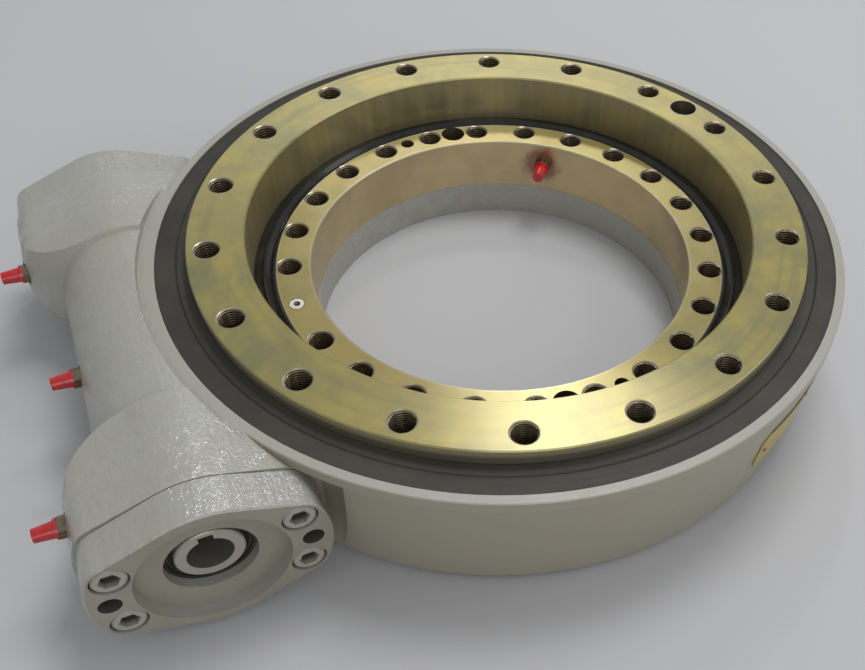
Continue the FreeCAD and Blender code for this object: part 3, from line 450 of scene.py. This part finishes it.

# %% [markdown]
# The output ring carries the load, and its bare face shows most. Its inner wall is darker, because the lathe
# tool left it rough. Faint streaks run down it, both marks where the passivation bath drained and painted
# highlight streaks. Painted shade darkens its outer wall towards the bottom, except the few millimetres under
# the top edge, and darkens its holes inside. All this is told apart by radius, by height and by where the
# surface faces, so one material covers the whole ring.

# %% Finish: output ring
ZINC_YELLOW = (0.345, 0.290, 0.100)
ZINC_OLIVE = (0.225, 0.218, 0.082)
ZINC_STRAW = (0.460, 0.375, 0.085)
ZINC_BAND = (0.215, 0.205, 0.090)
WALL_DARK = (0.150, 0.125, 0.062)
WALL_LIGHT = (0.380, 0.315, 0.150)
OUTER_WALL = (0.330, 0.295, 0.180)
OUTER_WALL_SHADE = (0.045, 0.040, 0.028)
CHAMFER = (0.310, 0.278, 0.180)
THREADED_HOLE_SHADE = (0.075, 0.056, 0.034)
DRAIN_ROUND, DRAIN_DOWN = 26.0, 9.0
WALL_SHADE_HEIGHTS = (RING_TOP - 3 * MM, RING_TOP - 7 * MM)
ring_zinc, tree, shader = new_material("yellow zinc on output ring")
here = place(tree, ROUND)
tint = place(tree, ZINC, seed=1.0)
holes = place(tree, HOLES, circle_radius=OUTPUT_CIRCLE, count=float(OUTPUT_COUNT),
              first_angle=OUTPUT_FIRST_ANGLE, hole_radius=THREAD_RADIUS)
pin_hole = place(tree, HOLES, circle_radius=OUTPUT_CIRCLE, count=1.0,
                 first_angle=OUTPUT_FIRST_ANGLE + math.pi / OUTPUT_COUNT, hole_radius=PIN_RADIUS)
inside = calc(tree, "MAXIMUM", holes["Inside"], pin_hole["Inside"])
mouth = calc(tree, "MAXIMUM", holes["Mouth"], pin_hole["Mouth"])
is_wall = ramp(tree, here["Facing up"], 0.6, 0.3)
outer_side = ramp(tree, here["Radius"], OUTPUT_CIRCLE, OUTPUT_CIRCLE + 4 * MM)
inner_wall = times(tree, is_wall, calc(tree, "SUBTRACT", 1.0, outer_side))
outer_wall = times(tree, is_wall, outer_side)
unrolled = add(tree, "ShaderNodeCombineXYZ", {
    0: times(tree, here["Angle"], DRAIN_ROUND), 1: times(tree, here["Height"], DRAIN_DOWN)}).outputs[0]
drain_and_highlight_streaks = add(tree, "ShaderNodeTexNoise", {"Vector": unrolled, "Scale": 1.0, "Detail": 3.0}).outputs["Fac"]
colour = mix_colour(tree, tint["Olive"], ZINC_YELLOW, ZINC_OLIVE)
colour = mix_colour(tree, times(tree, tint["Straw"], 0.80), colour, ZINC_STRAW)
colour = mix_colour(tree, ramp(tree, tint["Bands"], 0.45, 0.70, 0.0, 0.40), colour, ZINC_BAND)
# The streaks on the inner wall are partly drain marks and partly painted highlight streaks.
wall_colour = mix_colour(tree, drain_and_highlight_streaks, WALL_DARK, WALL_LIGHT)
colour = mix_colour(tree, times(tree, inner_wall, 0.85), colour, wall_colour)
colour = mix_colour(tree, times(tree, outer_wall, 0.80), colour, OUTER_WALL)
# Painted shade: the outer wall darkens towards its bottom, next to the seal.
low_outer_wall_shade = times(tree, outer_wall, ramp(tree, here["Height"], *WALL_SHADE_HEIGHTS))
colour = mix_colour(tree, times(tree, low_outer_wall_shade, 0.75), colour, OUTER_WALL_SHADE)
colour = mix_colour(tree, mouth, colour, CHAMFER)
# Painted shade inside the threaded holes and the pin hole.
colour = mix_colour(tree, inside, colour, THREADED_HOLE_SHADE)
bump(tree, shader, tint["Marks"], TURNED_DEPTH_MM)
metallic = calc(tree, "SUBTRACT", HALF_METAL, times(tree, outer_wall, 0.25))
feed(tree, shader, Base_Color=colour, Metallic=metallic, Roughness=vary(tree, 0.26, 0.14, tint["Marks"]))
feed(tree, shader, IOR=FILM_INDEX, Anisotropic=TURNED_STRETCH, Tangent=place(tree, ACROSS)["Direction"])
finish_nodes(ring_zinc, "output_ring")

# %% [markdown]
# The inner ring wears a deeper yellow between its holes, and its edges are paler. Painted shade darkens its
# holes inside. Two locating holes and two smaller ones for screws stand between the tapped holes. The pin of
# the filler plug takes one hole's place. A spill of red assembly grease stains the bore beside its nipple: a
# ball of colour about one point, with its border shaken by noise.

# %% Finish: inner ring
INNER_YELLOW = (0.420, 0.335, 0.090)
INNER_OLIVE = (0.320, 0.262, 0.075)
INNER_STRAW = (0.480, 0.400, 0.160)
PALE_EDGE = (0.520, 0.470, 0.310)
BORE_LIGHT = (0.560, 0.435, 0.220)
BORE_DEEP = (0.430, 0.325, 0.155)
INNER_HOLE_SHADE = (0.060, 0.045, 0.028)
RED_GREASE = (0.16, 0.030, 0.016)
NIPPLE_PLACE = sum(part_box("grease_nipple_bore"), Vector()) / 2
SPILL_CENTRE = tuple(NIPPLE_PLACE + Vector((0.008, 0.012, 0.006)))
SPILL_EDGE = (19 * MM, 10 * MM)
SPILL_WOBBLE = 12 * MM
LOCATING_ANGLE, SCREW_ANGLE = math.radians(82.5), math.radians(97.5)
LOCATING_RADIUS, SCREW_RADIUS = 9 * MM, 5 * MM
PIN_SECTOR_EDGE = (math.pi - 0.10, math.pi - 0.12)
inner_zinc, tree, shader = new_material("yellow zinc on inner ring")
here = place(tree, ROUND)
tint = place(tree, ZINC, seed=2.5)
holes = place(tree, HOLES, circle_radius=INNER_CIRCLE, count=float(INNER_COUNT), first_angle=0.0,
              hole_radius=THREAD_RADIUS)
locating = place(tree, HOLES, circle_radius=INNER_CIRCLE, count=2.0, first_angle=LOCATING_ANGLE,
                 hole_radius=LOCATING_RADIUS)
screws = place(tree, HOLES, circle_radius=INNER_CIRCLE, count=2.0, first_angle=SCREW_ANGLE,
               hole_radius=SCREW_RADIUS)
away_from_pin = ramp(tree, calc(tree, "ABSOLUTE", here["Angle"]), *PIN_SECTOR_EDGE)
inside = calc(tree, "MAXIMUM", locating["Inside"], screws["Inside"])
inside = calc(tree, "MAXIMUM", times(tree, holes["Inside"], away_from_pin), inside)
mouth = times(tree, holes["Mouth"], away_from_pin)
is_wall = ramp(tree, here["Facing up"], 0.6, 0.3)
inner_edge = ramp(tree, here["Radius"], INNER_BORE + 2.2 * MM, INNER_BORE + 0.2 * MM)
outer_edge = ramp(tree, here["Radius"], INNER_LAND - 2.0 * MM, INNER_LAND)
edges = calc(tree, "MAXIMUM", inner_edge, outer_edge)
colour = mix_colour(tree, tint["Olive"], INNER_YELLOW, INNER_OLIVE)
colour = mix_colour(tree, times(tree, tint["Straw"], 0.5), colour, INNER_STRAW)
colour = mix_colour(tree, times(tree, edges, 0.75), colour, PALE_EDGE)
bore_colour = mix_colour(tree, tint["Olive"], BORE_LIGHT, BORE_DEEP)
colour = mix_colour(tree, is_wall, colour, bore_colour)
colour = mix_colour(tree, mouth, colour, CHAMFER)
# Painted shade inside the tapped, locating and screw holes.
colour = mix_colour(tree, inside, colour, INNER_HOLE_SHADE)
point = add(tree, "ShaderNodeTexCoord").outputs["Object"]
wobble = add(tree, "ShaderNodeTexNoise", {"Vector": point, "Scale": 120.0, "Detail": 4.0}).outputs["Color"]
shift = add(tree, "ShaderNodeVectorMath", {0: wobble, "Scale": SPILL_WOBBLE}, operation="SCALE").outputs[0]
shaken = add(tree, "ShaderNodeVectorMath", {0: point, 1: shift}, operation="ADD").outputs[0]
reach = add(tree, "ShaderNodeVectorMath", {0: shaken, 1: SPILL_CENTRE}, operation="DISTANCE").outputs["Value"]
spill = ramp(tree, reach, *SPILL_EDGE)
colour = mix_colour(tree, times(tree, spill, 0.8), colour, RED_GREASE)
bump(tree, shader, tint["Marks"], TURNED_DEPTH_MM)
feed(tree, shader, Base_Color=colour, Metallic=HALF_METAL, Roughness=vary(tree, 0.24, 0.16, tint["Marks"]))
feed(tree, shader, IOR=FILM_INDEX, Anisotropic=TURNED_STRETCH, Tangent=place(tree, ACROSS)["Direction"])
finish_nodes(inner_zinc, "inner_ring", "filler_plug")

# %% [markdown]
# White sealant covers the head of the filler plug's pin, except a rim of bare steel and the hole that a puller
# screws into, which painted shade darkens. Noise on the distance makes both borders uneven.

# %% Finish: sealed pin
SEALANT_LIGHT = (0.78, 0.76, 0.68)
SEALANT_DULL = (0.60, 0.57, 0.48)
PULLER_HOLE_SHADE = (0.012, 0.010, 0.008)
PIN_RIM = (0.130, 0.110, 0.060)
PULLER_HOLE_EDGE = (2.9 * MM, 2.3 * MM)
SEALANT_EDGE = (4.9 * MM, 5.4 * MM)
pin_sealant, tree, shader = new_material("white sealant on pin")
from_pin = place(tree, HOLES, circle_radius=INNER_CIRCLE, count=1.0, first_angle=math.pi)["Distance"]
uneven = place(tree, BLOTCH, scale=420.0, cover=0.5, softness=0.3, seed=17.0)["Mask"]
from_pin = vary(tree, from_pin, 0.9 * MM, uneven)
colour = mix_colour(tree, uneven, SEALANT_LIGHT, SEALANT_DULL)
# Painted shade inside the puller hole.
colour = mix_colour(tree, ramp(tree, from_pin, *PULLER_HOLE_EDGE), colour, PULLER_HOLE_SHADE)
colour = mix_colour(tree, ramp(tree, from_pin, *SEALANT_EDGE), colour, PIN_RIM)
bump(tree, shader, uneven, 0.15)
feed(tree, shader, Base_Color=colour, Roughness=vary(tree, 0.45, 0.15, uneven))
finish_nodes(pin_sealant, "filler_plug_pin")

# %% [markdown]
# The big dust seal is rubber that has lain under handling: dull, dark olive-black, with dust in patches and
# a paler line where its moulded groove runs. The lip seal inside is wiped with grease, and stays glossy.

# %% Finish: rubber seals
GROOVE_RADIUS = SEAL_RADIUS - 13 * MM
RUBBER_DARK, RUBBER_DUSTY = (0.024, 0.022, 0.016), (0.052, 0.049, 0.036)
GROOVE_LINE = (0.070, 0.066, 0.050)
GREASED_DARK, GREASED_SMEAR = (0.010, 0.010, 0.009), (0.024, 0.022, 0.018)
SHAFT_SEAL_DARK, SHAFT_SEAL_BROWN = (0.026, 0.022, 0.018), (0.052, 0.038, 0.028)

dust_rubber, tree, shader = new_material("dusty rubber")
here = place(tree, ROUND)
dust = place(tree, BLOTCH, scale=30.0, cover=0.45, softness=0.25, detail=6.0, seed=6.0)["Mask"]
wipe = place(tree, TURNED, fineness=420.0, length=3.0)["Marks"]
from_groove = calc(tree, "ABSOLUTE", calc(tree, "SUBTRACT", here["Radius"], GROOVE_RADIUS))
line = ramp(tree, from_groove, 1.1 * MM, 0.5 * MM)
colour = mix_colour(tree, times(tree, dust, 0.55), RUBBER_DARK, RUBBER_DUSTY)
colour = mix_colour(tree, times(tree, line, 0.25), colour, GROOVE_LINE)
bump(tree, shader, calc(tree, "ADD", dust, wipe), 0.06)
feed(tree, shader, Base_Color=colour, Roughness=vary(tree, 0.45, 0.2, wipe), Specular_IOR_Level=0.40)
finish_nodes(dust_rubber, "outer_dust_seal")

greased_rubber, tree, shader = new_material("greased rubber")
smear = place(tree, BLOTCH, scale=60.0, cover=0.4, softness=0.2, seed=8.0)["Mask"]
wipe = place(tree, TURNED, fineness=700.0, length=4.0)["Marks"]
bump(tree, shader, wipe, 0.02)
colour = mix_colour(tree, smear, GREASED_DARK, GREASED_SMEAR)
feed(tree, shader, Base_Color=colour, Roughness=vary(tree, 0.10, 0.10, smear))
finish_nodes(greased_rubber, "inner_lip_seal")

shaft_seal_rubber, tree, shader = new_material("shaft seal rubber")
smear = place(tree, BLOTCH, scale=140.0, cover=0.4, softness=0.2, seed=12.0)["Mask"]
bump(tree, shader, smear, 0.05)
colour = mix_colour(tree, smear, SHAFT_SEAL_DARK, SHAFT_SEAL_BROWN)
feed(tree, shader, Base_Color=colour, Roughness=vary(tree, 0.35, 0.15, smear))
finish_nodes(shaft_seal_rubber, "near_shaft_seal")

# %% [markdown]
# The worm's open end is bare ground steel with a film of oil. Its outer face was caught by the paint gun, so
# it reads as a warm grey, and its bare steel bore is darkened with painted shade. The bearings, balls and
# rollers inside are polished.

# %% Finish: bare steel
WORM_FACE, WORM_FACE_DEEP = (0.420, 0.400, 0.335), (0.330, 0.310, 0.250)
WORM_BORE_SHADE = (0.16, 0.155, 0.135)
WORM_BORE_EDGE = (12.9 * MM, 12.4 * MM)
POLISHED, POLISHED_OILY = (0.62, 0.62, 0.61), (0.50, 0.48, 0.43)

worm_steel, tree, shader = new_material("ground steel")
here = add(tree, "ShaderNodeTexCoord").outputs["Object"]
centred = add(tree, "ShaderNodeMapping", {"Vector": here, "Location": (-WORM_X, 0.0, -WORM_Z)}).outputs[0]
axes = add(tree, "ShaderNodeSeparateXYZ", {0: centred}).outputs
squares = calc(tree, "ADD", times(tree, axes[0], axes[0]), times(tree, axes[2], axes[2]))
from_axis = calc(tree, "SQRT", squares)
unrolled = add(tree, "ShaderNodeCombineXYZ", {0: from_axis, 1: axes[1]}).outputs[0]
lines = add(tree, "ShaderNodeTexNoise", {"Vector": unrolled, "Scale": 1600.0, "Detail": 2.0}).outputs["Fac"]
film = place(tree, BLOTCH, scale=70.0, cover=0.4, softness=0.2, seed=7.0)["Mask"]
bored = ramp(tree, from_axis, *WORM_BORE_EDGE)
colour = mix_colour(tree, times(tree, film, 0.5), WORM_FACE, WORM_FACE_DEEP)
# Painted shade inside the bore.
colour = mix_colour(tree, bored, colour, WORM_BORE_SHADE)
bump(tree, shader, lines, 0.03)
feed(tree, shader, Base_Color=colour, Metallic=0.35, Roughness=vary(tree, 0.3, 0.2, lines))
finish_nodes(worm_steel, "worm_shaft")

bearing_steel, tree, shader = new_material("bearing steel")
film = place(tree, BLOTCH, scale=90.0, cover=0.4, softness=0.2, seed=11.0)["Mask"]
marks = place(tree, TURNED, fineness=2200.0, length=9.0)["Marks"]
bump(tree, shader, marks, 0.01)
colour = mix_colour(tree, film, POLISHED, POLISHED_OILY)
feed(tree, shader, Base_Color=colour, Metallic=1.0, Roughness=vary(tree, 0.12, 0.12, film))
BEARING_PARTS = ["%s_bearing_%s" % (end, part) for part in ("cone", "cup", "rollers", "cage")
                 for end in ("near", "far")]
finish_nodes(bearing_steel, "ring_balls", *BEARING_PARTS)

# %% [markdown]
# Small parts come next: nylon ball spacers, black screws, dark gaskets, and plated grease nipples with their
# glossy red caps. Each finish is two tints in small blotches, so one helper makes them all.

# %% Finish: small parts
NIPPLES = ("near", "mid", "far", "bore")


def speckled(name, first, second, scale, roughness, metallic=0.0, depth_mm=0.05, coat=0.0):
    """A finish of two tints in small blotches, with a slight bump of the same pattern."""
    material, tree, shader = new_material(name)
    mask = place(tree, BLOTCH, scale=scale, cover=0.45, softness=0.2, detail=5.0, seed=scale)["Mask"]
    bump(tree, shader, mask, depth_mm)
    feed(tree, shader, Base_Color=mix_colour(tree, mask, first, second), Metallic=metallic)
    feed(tree, shader, Roughness=vary(tree, roughness, 0.15, mask), Coat_Weight=coat)
    return material


nylon = speckled("natural nylon", (0.66, 0.62, 0.48), (0.56, 0.51, 0.38), scale=120.0, roughness=0.45)
black_oxide = speckled("black oxide", (0.030, 0.030, 0.032), (0.055, 0.050, 0.045), scale=200.0,
                       roughness=0.35, metallic=0.6)
gasket = speckled("gasket sheet", (0.040, 0.038, 0.032), (0.080, 0.074, 0.060), scale=260.0, roughness=0.75)
plated = speckled("plated nipple", (0.26, 0.21, 0.14), (0.15, 0.12, 0.08), scale=420.0, roughness=0.28,
                  metallic=0.9, depth_mm=0.02)
red_cap = speckled("red cap plastic", (0.52, 0.012, 0.014), (0.40, 0.008, 0.012), scale=260.0,
                   roughness=0.22, depth_mm=0.04, coat=0.4)
finish_nodes(nylon, "ball_spacers")
finish_nodes(black_oxide, "ring_screws")
finish_nodes(gasket, "near_cover_gasket", "far_cover_gasket")
finish_nodes(plated, "nameplate_rivets", *["grease_nipple_" + where for where in NIPPLES])
finish_nodes(red_cap, *["nipple_cap_" + where for where in NIPPLES])

# %% [markdown]
# The nameplate is blank brass that has gone dull in patches. Its upper and lower edges have turned brown,
# where dirt gathers against the wall. Their distance from the plate's middle height finds them.

# %% Finish: nameplate
BRASS, BRASS_DULL = (0.560, 0.440, 0.130), (0.440, 0.350, 0.120)
BROWN_EDGE = (0.230, 0.170, 0.090)
PLATE_LOW, PLATE_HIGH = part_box("nameplate")
middle_z = (PLATE_LOW.z + PLATE_HIGH.z) / 2
half_height = (PLATE_HIGH.z - PLATE_LOW.z) / 2
plate_brass, tree, shader = new_material("worn brass plate")
height = place(tree, ROUND)["Height"]
from_middle = calc(tree, "ABSOLUTE", calc(tree, "SUBTRACT", height, middle_z))
near_edge = ramp(tree, from_middle, half_height - 2.2 * MM, half_height - 1.2 * MM)
stain = place(tree, BLOTCH, scale=55.0, cover=0.42, softness=0.15, detail=6.0, seed=14.0)["Mask"]
colour = mix_colour(tree, times(tree, stain, 0.7), BRASS, BRASS_DULL)
colour = mix_colour(tree, times(tree, near_edge, 0.7), colour, BROWN_EDGE)
bump(tree, shader, stain, 0.05)
feed(tree, shader, Base_Color=colour, Metallic=0.6, Roughness=vary(tree, 0.32, 0.2, stain))
finish_nodes(plate_brass, "nameplate")

# %% [markdown]
# The tapped holes are plain cylinders in the solids. A real thread shows as bright and dark turns just below
# each mouth. One ridge is a helix with a diamond section whose outer half lies in the hole's wall, and
# Geometry Nodes put a copy in each hole of the circle. Another way would be an array modifier per hole, but
# one tree serves both rings, and its inputs are the sizes that a drawing would give.

# %% Tree: thread ridges round a bolt circle
THREADS = bpy.data.node_groups.new("Threads in a bolt circle", "GeometryNodeTree")
THREADS.interface.new_socket("Geometry", in_out="INPUT", socket_type="NodeSocketGeometry")
THREAD_INPUTS = {
    "Circle radius": ("NodeSocketFloat", 0.193), "First angle": ("NodeSocketFloat", 0.0),
    "Hole count": ("NodeSocketInt", 18), "Skipped hole": ("NodeSocketInt", -1),
    "Hole radius": ("NodeSocketFloat", 0.008), "Pitch": ("NodeSocketFloat", 0.002),
    "Turns": ("NodeSocketFloat", 12.0), "Bottom height": ("NodeSocketFloat", 0.07),
    "Finish": ("NodeSocketMaterial", None)}
for label, (kind, default) in THREAD_INPUTS.items():
    socket = THREADS.interface.new_socket(label, in_out="INPUT", socket_type=kind)
    if default is not None:
        socket.default_value = default
THREADS.interface.new_socket("Geometry", in_out="OUTPUT", socket_type="NodeSocketGeometry")
STEPS_PER_TURN = 20
RIDGE_RADIUS_SHARE = 0.47
sizes = THREADS.nodes.new("NodeGroupInput").outputs
helix = add(THREADS, "GeometryNodeCurveSpiral", {
    "Resolution": STEPS_PER_TURN, "Rotations": sizes["Turns"], "Start Radius": sizes["Hole radius"],
    "End Radius": sizes["Hole radius"], "Height": times(THREADS, sizes["Turns"], sizes["Pitch"])}).outputs[0]
upright = add(THREADS, "GeometryNodeSetCurveNormal", {"Curve": helix}, mode="Z_UP").outputs[0]
diamond = add(THREADS, "GeometryNodeCurvePrimitiveCircle", {
    "Resolution": 4, "Radius": times(THREADS, sizes["Pitch"], RIDGE_RADIUS_SHARE)}).outputs["Curve"]
ridge = add(THREADS, "GeometryNodeCurveToMesh", {
    "Curve": upright, "Profile Curve": diamond, "Fill Caps": True}).outputs[0]
hole_points = add(THREADS, "GeometryNodeMeshCircle", {
    "Vertices": sizes["Hole count"], "Radius": sizes["Circle radius"]}).outputs[0]
turned = add(THREADS, "GeometryNodeTransform", {
    "Geometry": hole_points,
    "Translation": add(THREADS, "ShaderNodeCombineXYZ", {2: sizes["Bottom height"]}).outputs[0],
    "Rotation": add(THREADS, "ShaderNodeCombineXYZ", {2: sizes["First angle"]}).outputs[0]}).outputs[0]
number = THREADS.nodes.new("GeometryNodeInputIndex").outputs[0]
wanted = add(THREADS, "FunctionNodeCompare", data_type="INT", operation="NOT_EQUAL")
THREADS.links.new(number, wanted.inputs[2])
THREADS.links.new(sizes["Skipped hole"], wanted.inputs[3])
copies = add(THREADS, "GeometryNodeInstanceOnPoints", {
    "Points": turned, "Selection": wanted.outputs[0], "Instance": ridge}).outputs[0]
made_real = add(THREADS, "GeometryNodeRealizeInstances", {"Geometry": copies}).outputs[0]
finished = add(THREADS, "GeometryNodeSetMaterial", {
    "Geometry": made_real, "Material": sizes["Finish"]}).outputs[0]
THREADS.links.new(finished, THREADS.nodes.new("NodeGroupOutput").inputs[0])
print("thread tree: %d nodes, inputs %s" % (len(THREADS.nodes), ", ".join(THREAD_INPUTS)))

# %% [markdown]
# A modifier's inputs have hidden identifiers, so we look each one up by its label. The evaluated result is
# copied to a plain mesh, because instances are lost on export, and then it rides on its ring.

# %% Run a tree and keep its mesh


def grow(name, tree, body, slot, **inputs):
    """Evaluate a geometry tree and keep its result as a plain mesh object on a body."""
    seed = bpy.data.objects.new(name + "_source", bpy.data.meshes.new(name + "_source"))
    bpy.context.scene.collection.objects.link(seed)
    modifier = seed.modifiers.new("Nodes", "NODES")
    modifier.node_group = tree
    known = {item.name: item.identifier for item in tree.interface.items_tree if item.in_out == "INPUT"}
    for label, value in inputs.items():
        modifier[known[label.replace("_", " ").capitalize()]] = value
    bpy.context.view_layer.update()
    ready = seed.evaluated_get(bpy.context.evaluated_depsgraph_get())
    mesh = bpy.data.meshes.new_from_object(ready)
    mesh.name = name
    mesh.materials.clear()
    mesh.materials.append(inputs["finish"])
    bpy.data.objects.remove(seed)
    piece = bpy.data.objects.new(name, mesh)
    bpy.context.scene.collection.objects.link(piece)
    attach(piece, body)
    print("%s: %d faces, finish %s" % (name, len(mesh.polygons), mesh.materials[0].name))


# %% [markdown]
# The threads are oily and dark brown, and catch light only on their crests. Both rings have the same size of
# thread. It starts a little below the mouth and runs down a whole number of turns.

# %% Threads in both rings
THREAD_LIGHT, THREAD_DARK = (0.235, 0.185, 0.115), (0.135, 0.100, 0.060)
THREAD_PITCH = 2.0 * MM
MOUTH_DEPTH = 1.4 * MM
OUTPUT_TURNS = 15.0
INNER_TURNS = 19.0
thread_metal, tree, shader = new_material("oily thread")
mask = place(tree, BLOTCH, scale=300.0, cover=0.45, softness=0.2, seed=21.0)["Mask"]
bump(tree, shader, mask, 0.03)
colour = mix_colour(tree, mask, THREAD_LIGHT, THREAD_DARK)
feed(tree, shader, Base_Color=colour, Metallic=0.8, Roughness=vary(tree, 0.25, 0.2, mask))
output_bottom = RING_TOP - MOUTH_DEPTH - OUTPUT_TURNS * THREAD_PITCH
inner_bottom = INNER_TOP - MOUTH_DEPTH - INNER_TURNS * THREAD_PITCH
grow("output_threads", THREADS, "output_wheel", "zinc_steel", circle_radius=OUTPUT_CIRCLE,
     first_angle=OUTPUT_FIRST_ANGLE, hole_count=OUTPUT_COUNT, hole_radius=THREAD_RADIUS, pitch=THREAD_PITCH,
     turns=OUTPUT_TURNS, bottom_height=output_bottom, finish=thread_metal)
grow("inner_threads", THREADS, "drive_housing", "zinc_steel", circle_radius=INNER_CIRCLE, first_angle=0.0,
     hole_count=INNER_COUNT, skipped_hole=INNER_COUNT // 2, hole_radius=THREAD_RADIUS, pitch=THREAD_PITCH,
     turns=INNER_TURNS, bottom_height=inner_bottom, finish=thread_metal)

# %% [markdown]
# The floor is one plain pale sheet, wide enough to fill the picture. It lies a hair under the object, so that
# the two faces never share a plane, and it isn't part of the object.

# %% Floor
FLOOR_HALF = 6.0
FLOOR_DROP = 0.2 * MM
FLOOR_COLOUR = (0.48, 0.48, 0.49)
corners = [(x * FLOOR_HALF, y * FLOOR_HALF, 0) for x, y in ((-1, -1), (1, -1), (1, 1), (-1, 1))]
floor_mesh = bpy.data.meshes.new("floor")
floor_mesh.from_pydata(corners, [], [(0, 1, 2, 3)])
floor = bpy.data.objects.new("floor", floor_mesh)
floor.location = (0, 0, -FLOOR_DROP)
bpy.context.scene.collection.objects.link(floor)
floor_paint, tree, shader = new_material("pale floor")
feed(tree, shader, Base_Color=FLOOR_COLOUR, Roughness=0.85)
floor_mesh.materials.append(floor_paint)
print("floor: %.0f m wide" % (2 * FLOOR_HALF))

# %% [markdown]
# Soft light from large panels keeps the shadows gentle. The key panel hangs high, on the far side of the ring
# from the camera, so the turned faces mirror it in two narrow wings. A small lamp behind the ring gives the
# sparks on the glossy paint, and two weaker panels fill the wall and the covers.

# %% Lights and world
AIM_POINT = Vector((0.0, 0.0, 0.05))
SKY_COLOUR = (0.90, 0.92, 0.95, 1.0)
SKY_STRENGTH = 0.47


def panel(name, place_at, size, power):
    """A square area light that looks at the drive."""
    light = bpy.data.lights.new(name, "AREA")
    light.size = size
    light.energy = power
    lamp = bpy.data.objects.new(name, light)
    lamp.location = place_at
    lamp.rotation_euler = (AIM_POINT - Vector(place_at)).to_track_quat("-Z", "Y").to_euler()
    bpy.context.scene.collection.objects.link(lamp)
    print("%s: %.1f W over %.2f m" % (name, power, size))


panel("key panel", (0.57, 0.34, 2.08), size=0.8, power=19.5)
panel("glint lamp", (0.62, 1.27, 1.69), size=0.20, power=4.0)
panel("side panel", (1.8, -0.9, 1.3), size=1.4, power=8.0)
panel("front panel", (-0.5, -2.0, 1.1), size=1.2, power=8.5)

world = bpy.data.worlds.new("studio")
bpy.context.scene.world = world
world.use_nodes = True
sky = world.node_tree.nodes["Background"].inputs
sky["Color"].default_value = SKY_COLOUR
sky["Strength"].default_value = SKY_STRENGTH

# %% [markdown]
# The camera was worked out from the photograph: the bolt circles and rims are true circles, so their ellipses
# fix its place, direction and focal length. The picture is a crop, so the lens is shifted a little.

# %% Camera
CAMERA_PLACE = Vector((-0.21390, -0.48550, 0.51963))
AZIMUTH, ELEVATION, ROLL = (math.radians(a) for a in (-28.79, 46.57, 4.59))
FOCAL_PX = 983.80
CENTRE_PX = (559.85, 358.49)
PICTURE_PX = (865, 670)
SENSOR_MM = 36.0
camera_data = bpy.data.cameras.new("camera")
camera_data.sensor_width = SENSOR_MM
camera_data.lens = FOCAL_PX * camera_data.sensor_width / PICTURE_PX[0]
camera_data.shift_x = (PICTURE_PX[0] / 2 - CENTRE_PX[0]) / PICTURE_PX[0]
camera_data.shift_y = (CENTRE_PX[1] - PICTURE_PX[1] / 2) / PICTURE_PX[0]
camera_data.clip_start = 0.01
camera = bpy.data.objects.new("camera", camera_data)
bpy.context.scene.collection.objects.link(camera)
back = Vector((
    math.sin(AZIMUTH) * math.cos(ELEVATION), -math.cos(AZIMUTH) * math.cos(ELEVATION), math.sin(ELEVATION)))
right = (-back).cross(Vector((0, 0, 1))).normalized()
up = right.cross(-back)
rolled_right = math.cos(ROLL) * right + math.sin(ROLL) * up
rolled_up = -math.sin(ROLL) * right + math.cos(ROLL) * up
camera.location = CAMERA_PLACE
camera.rotation_mode = "QUATERNION"
camera.rotation_quaternion = Matrix((rolled_right, rolled_up, back)).transposed().to_quaternion()
bpy.context.scene.camera = camera
bpy.context.scene.view_settings.view_transform = "Standard"
print("camera: focal length %.1f mm" % camera_data.lens)
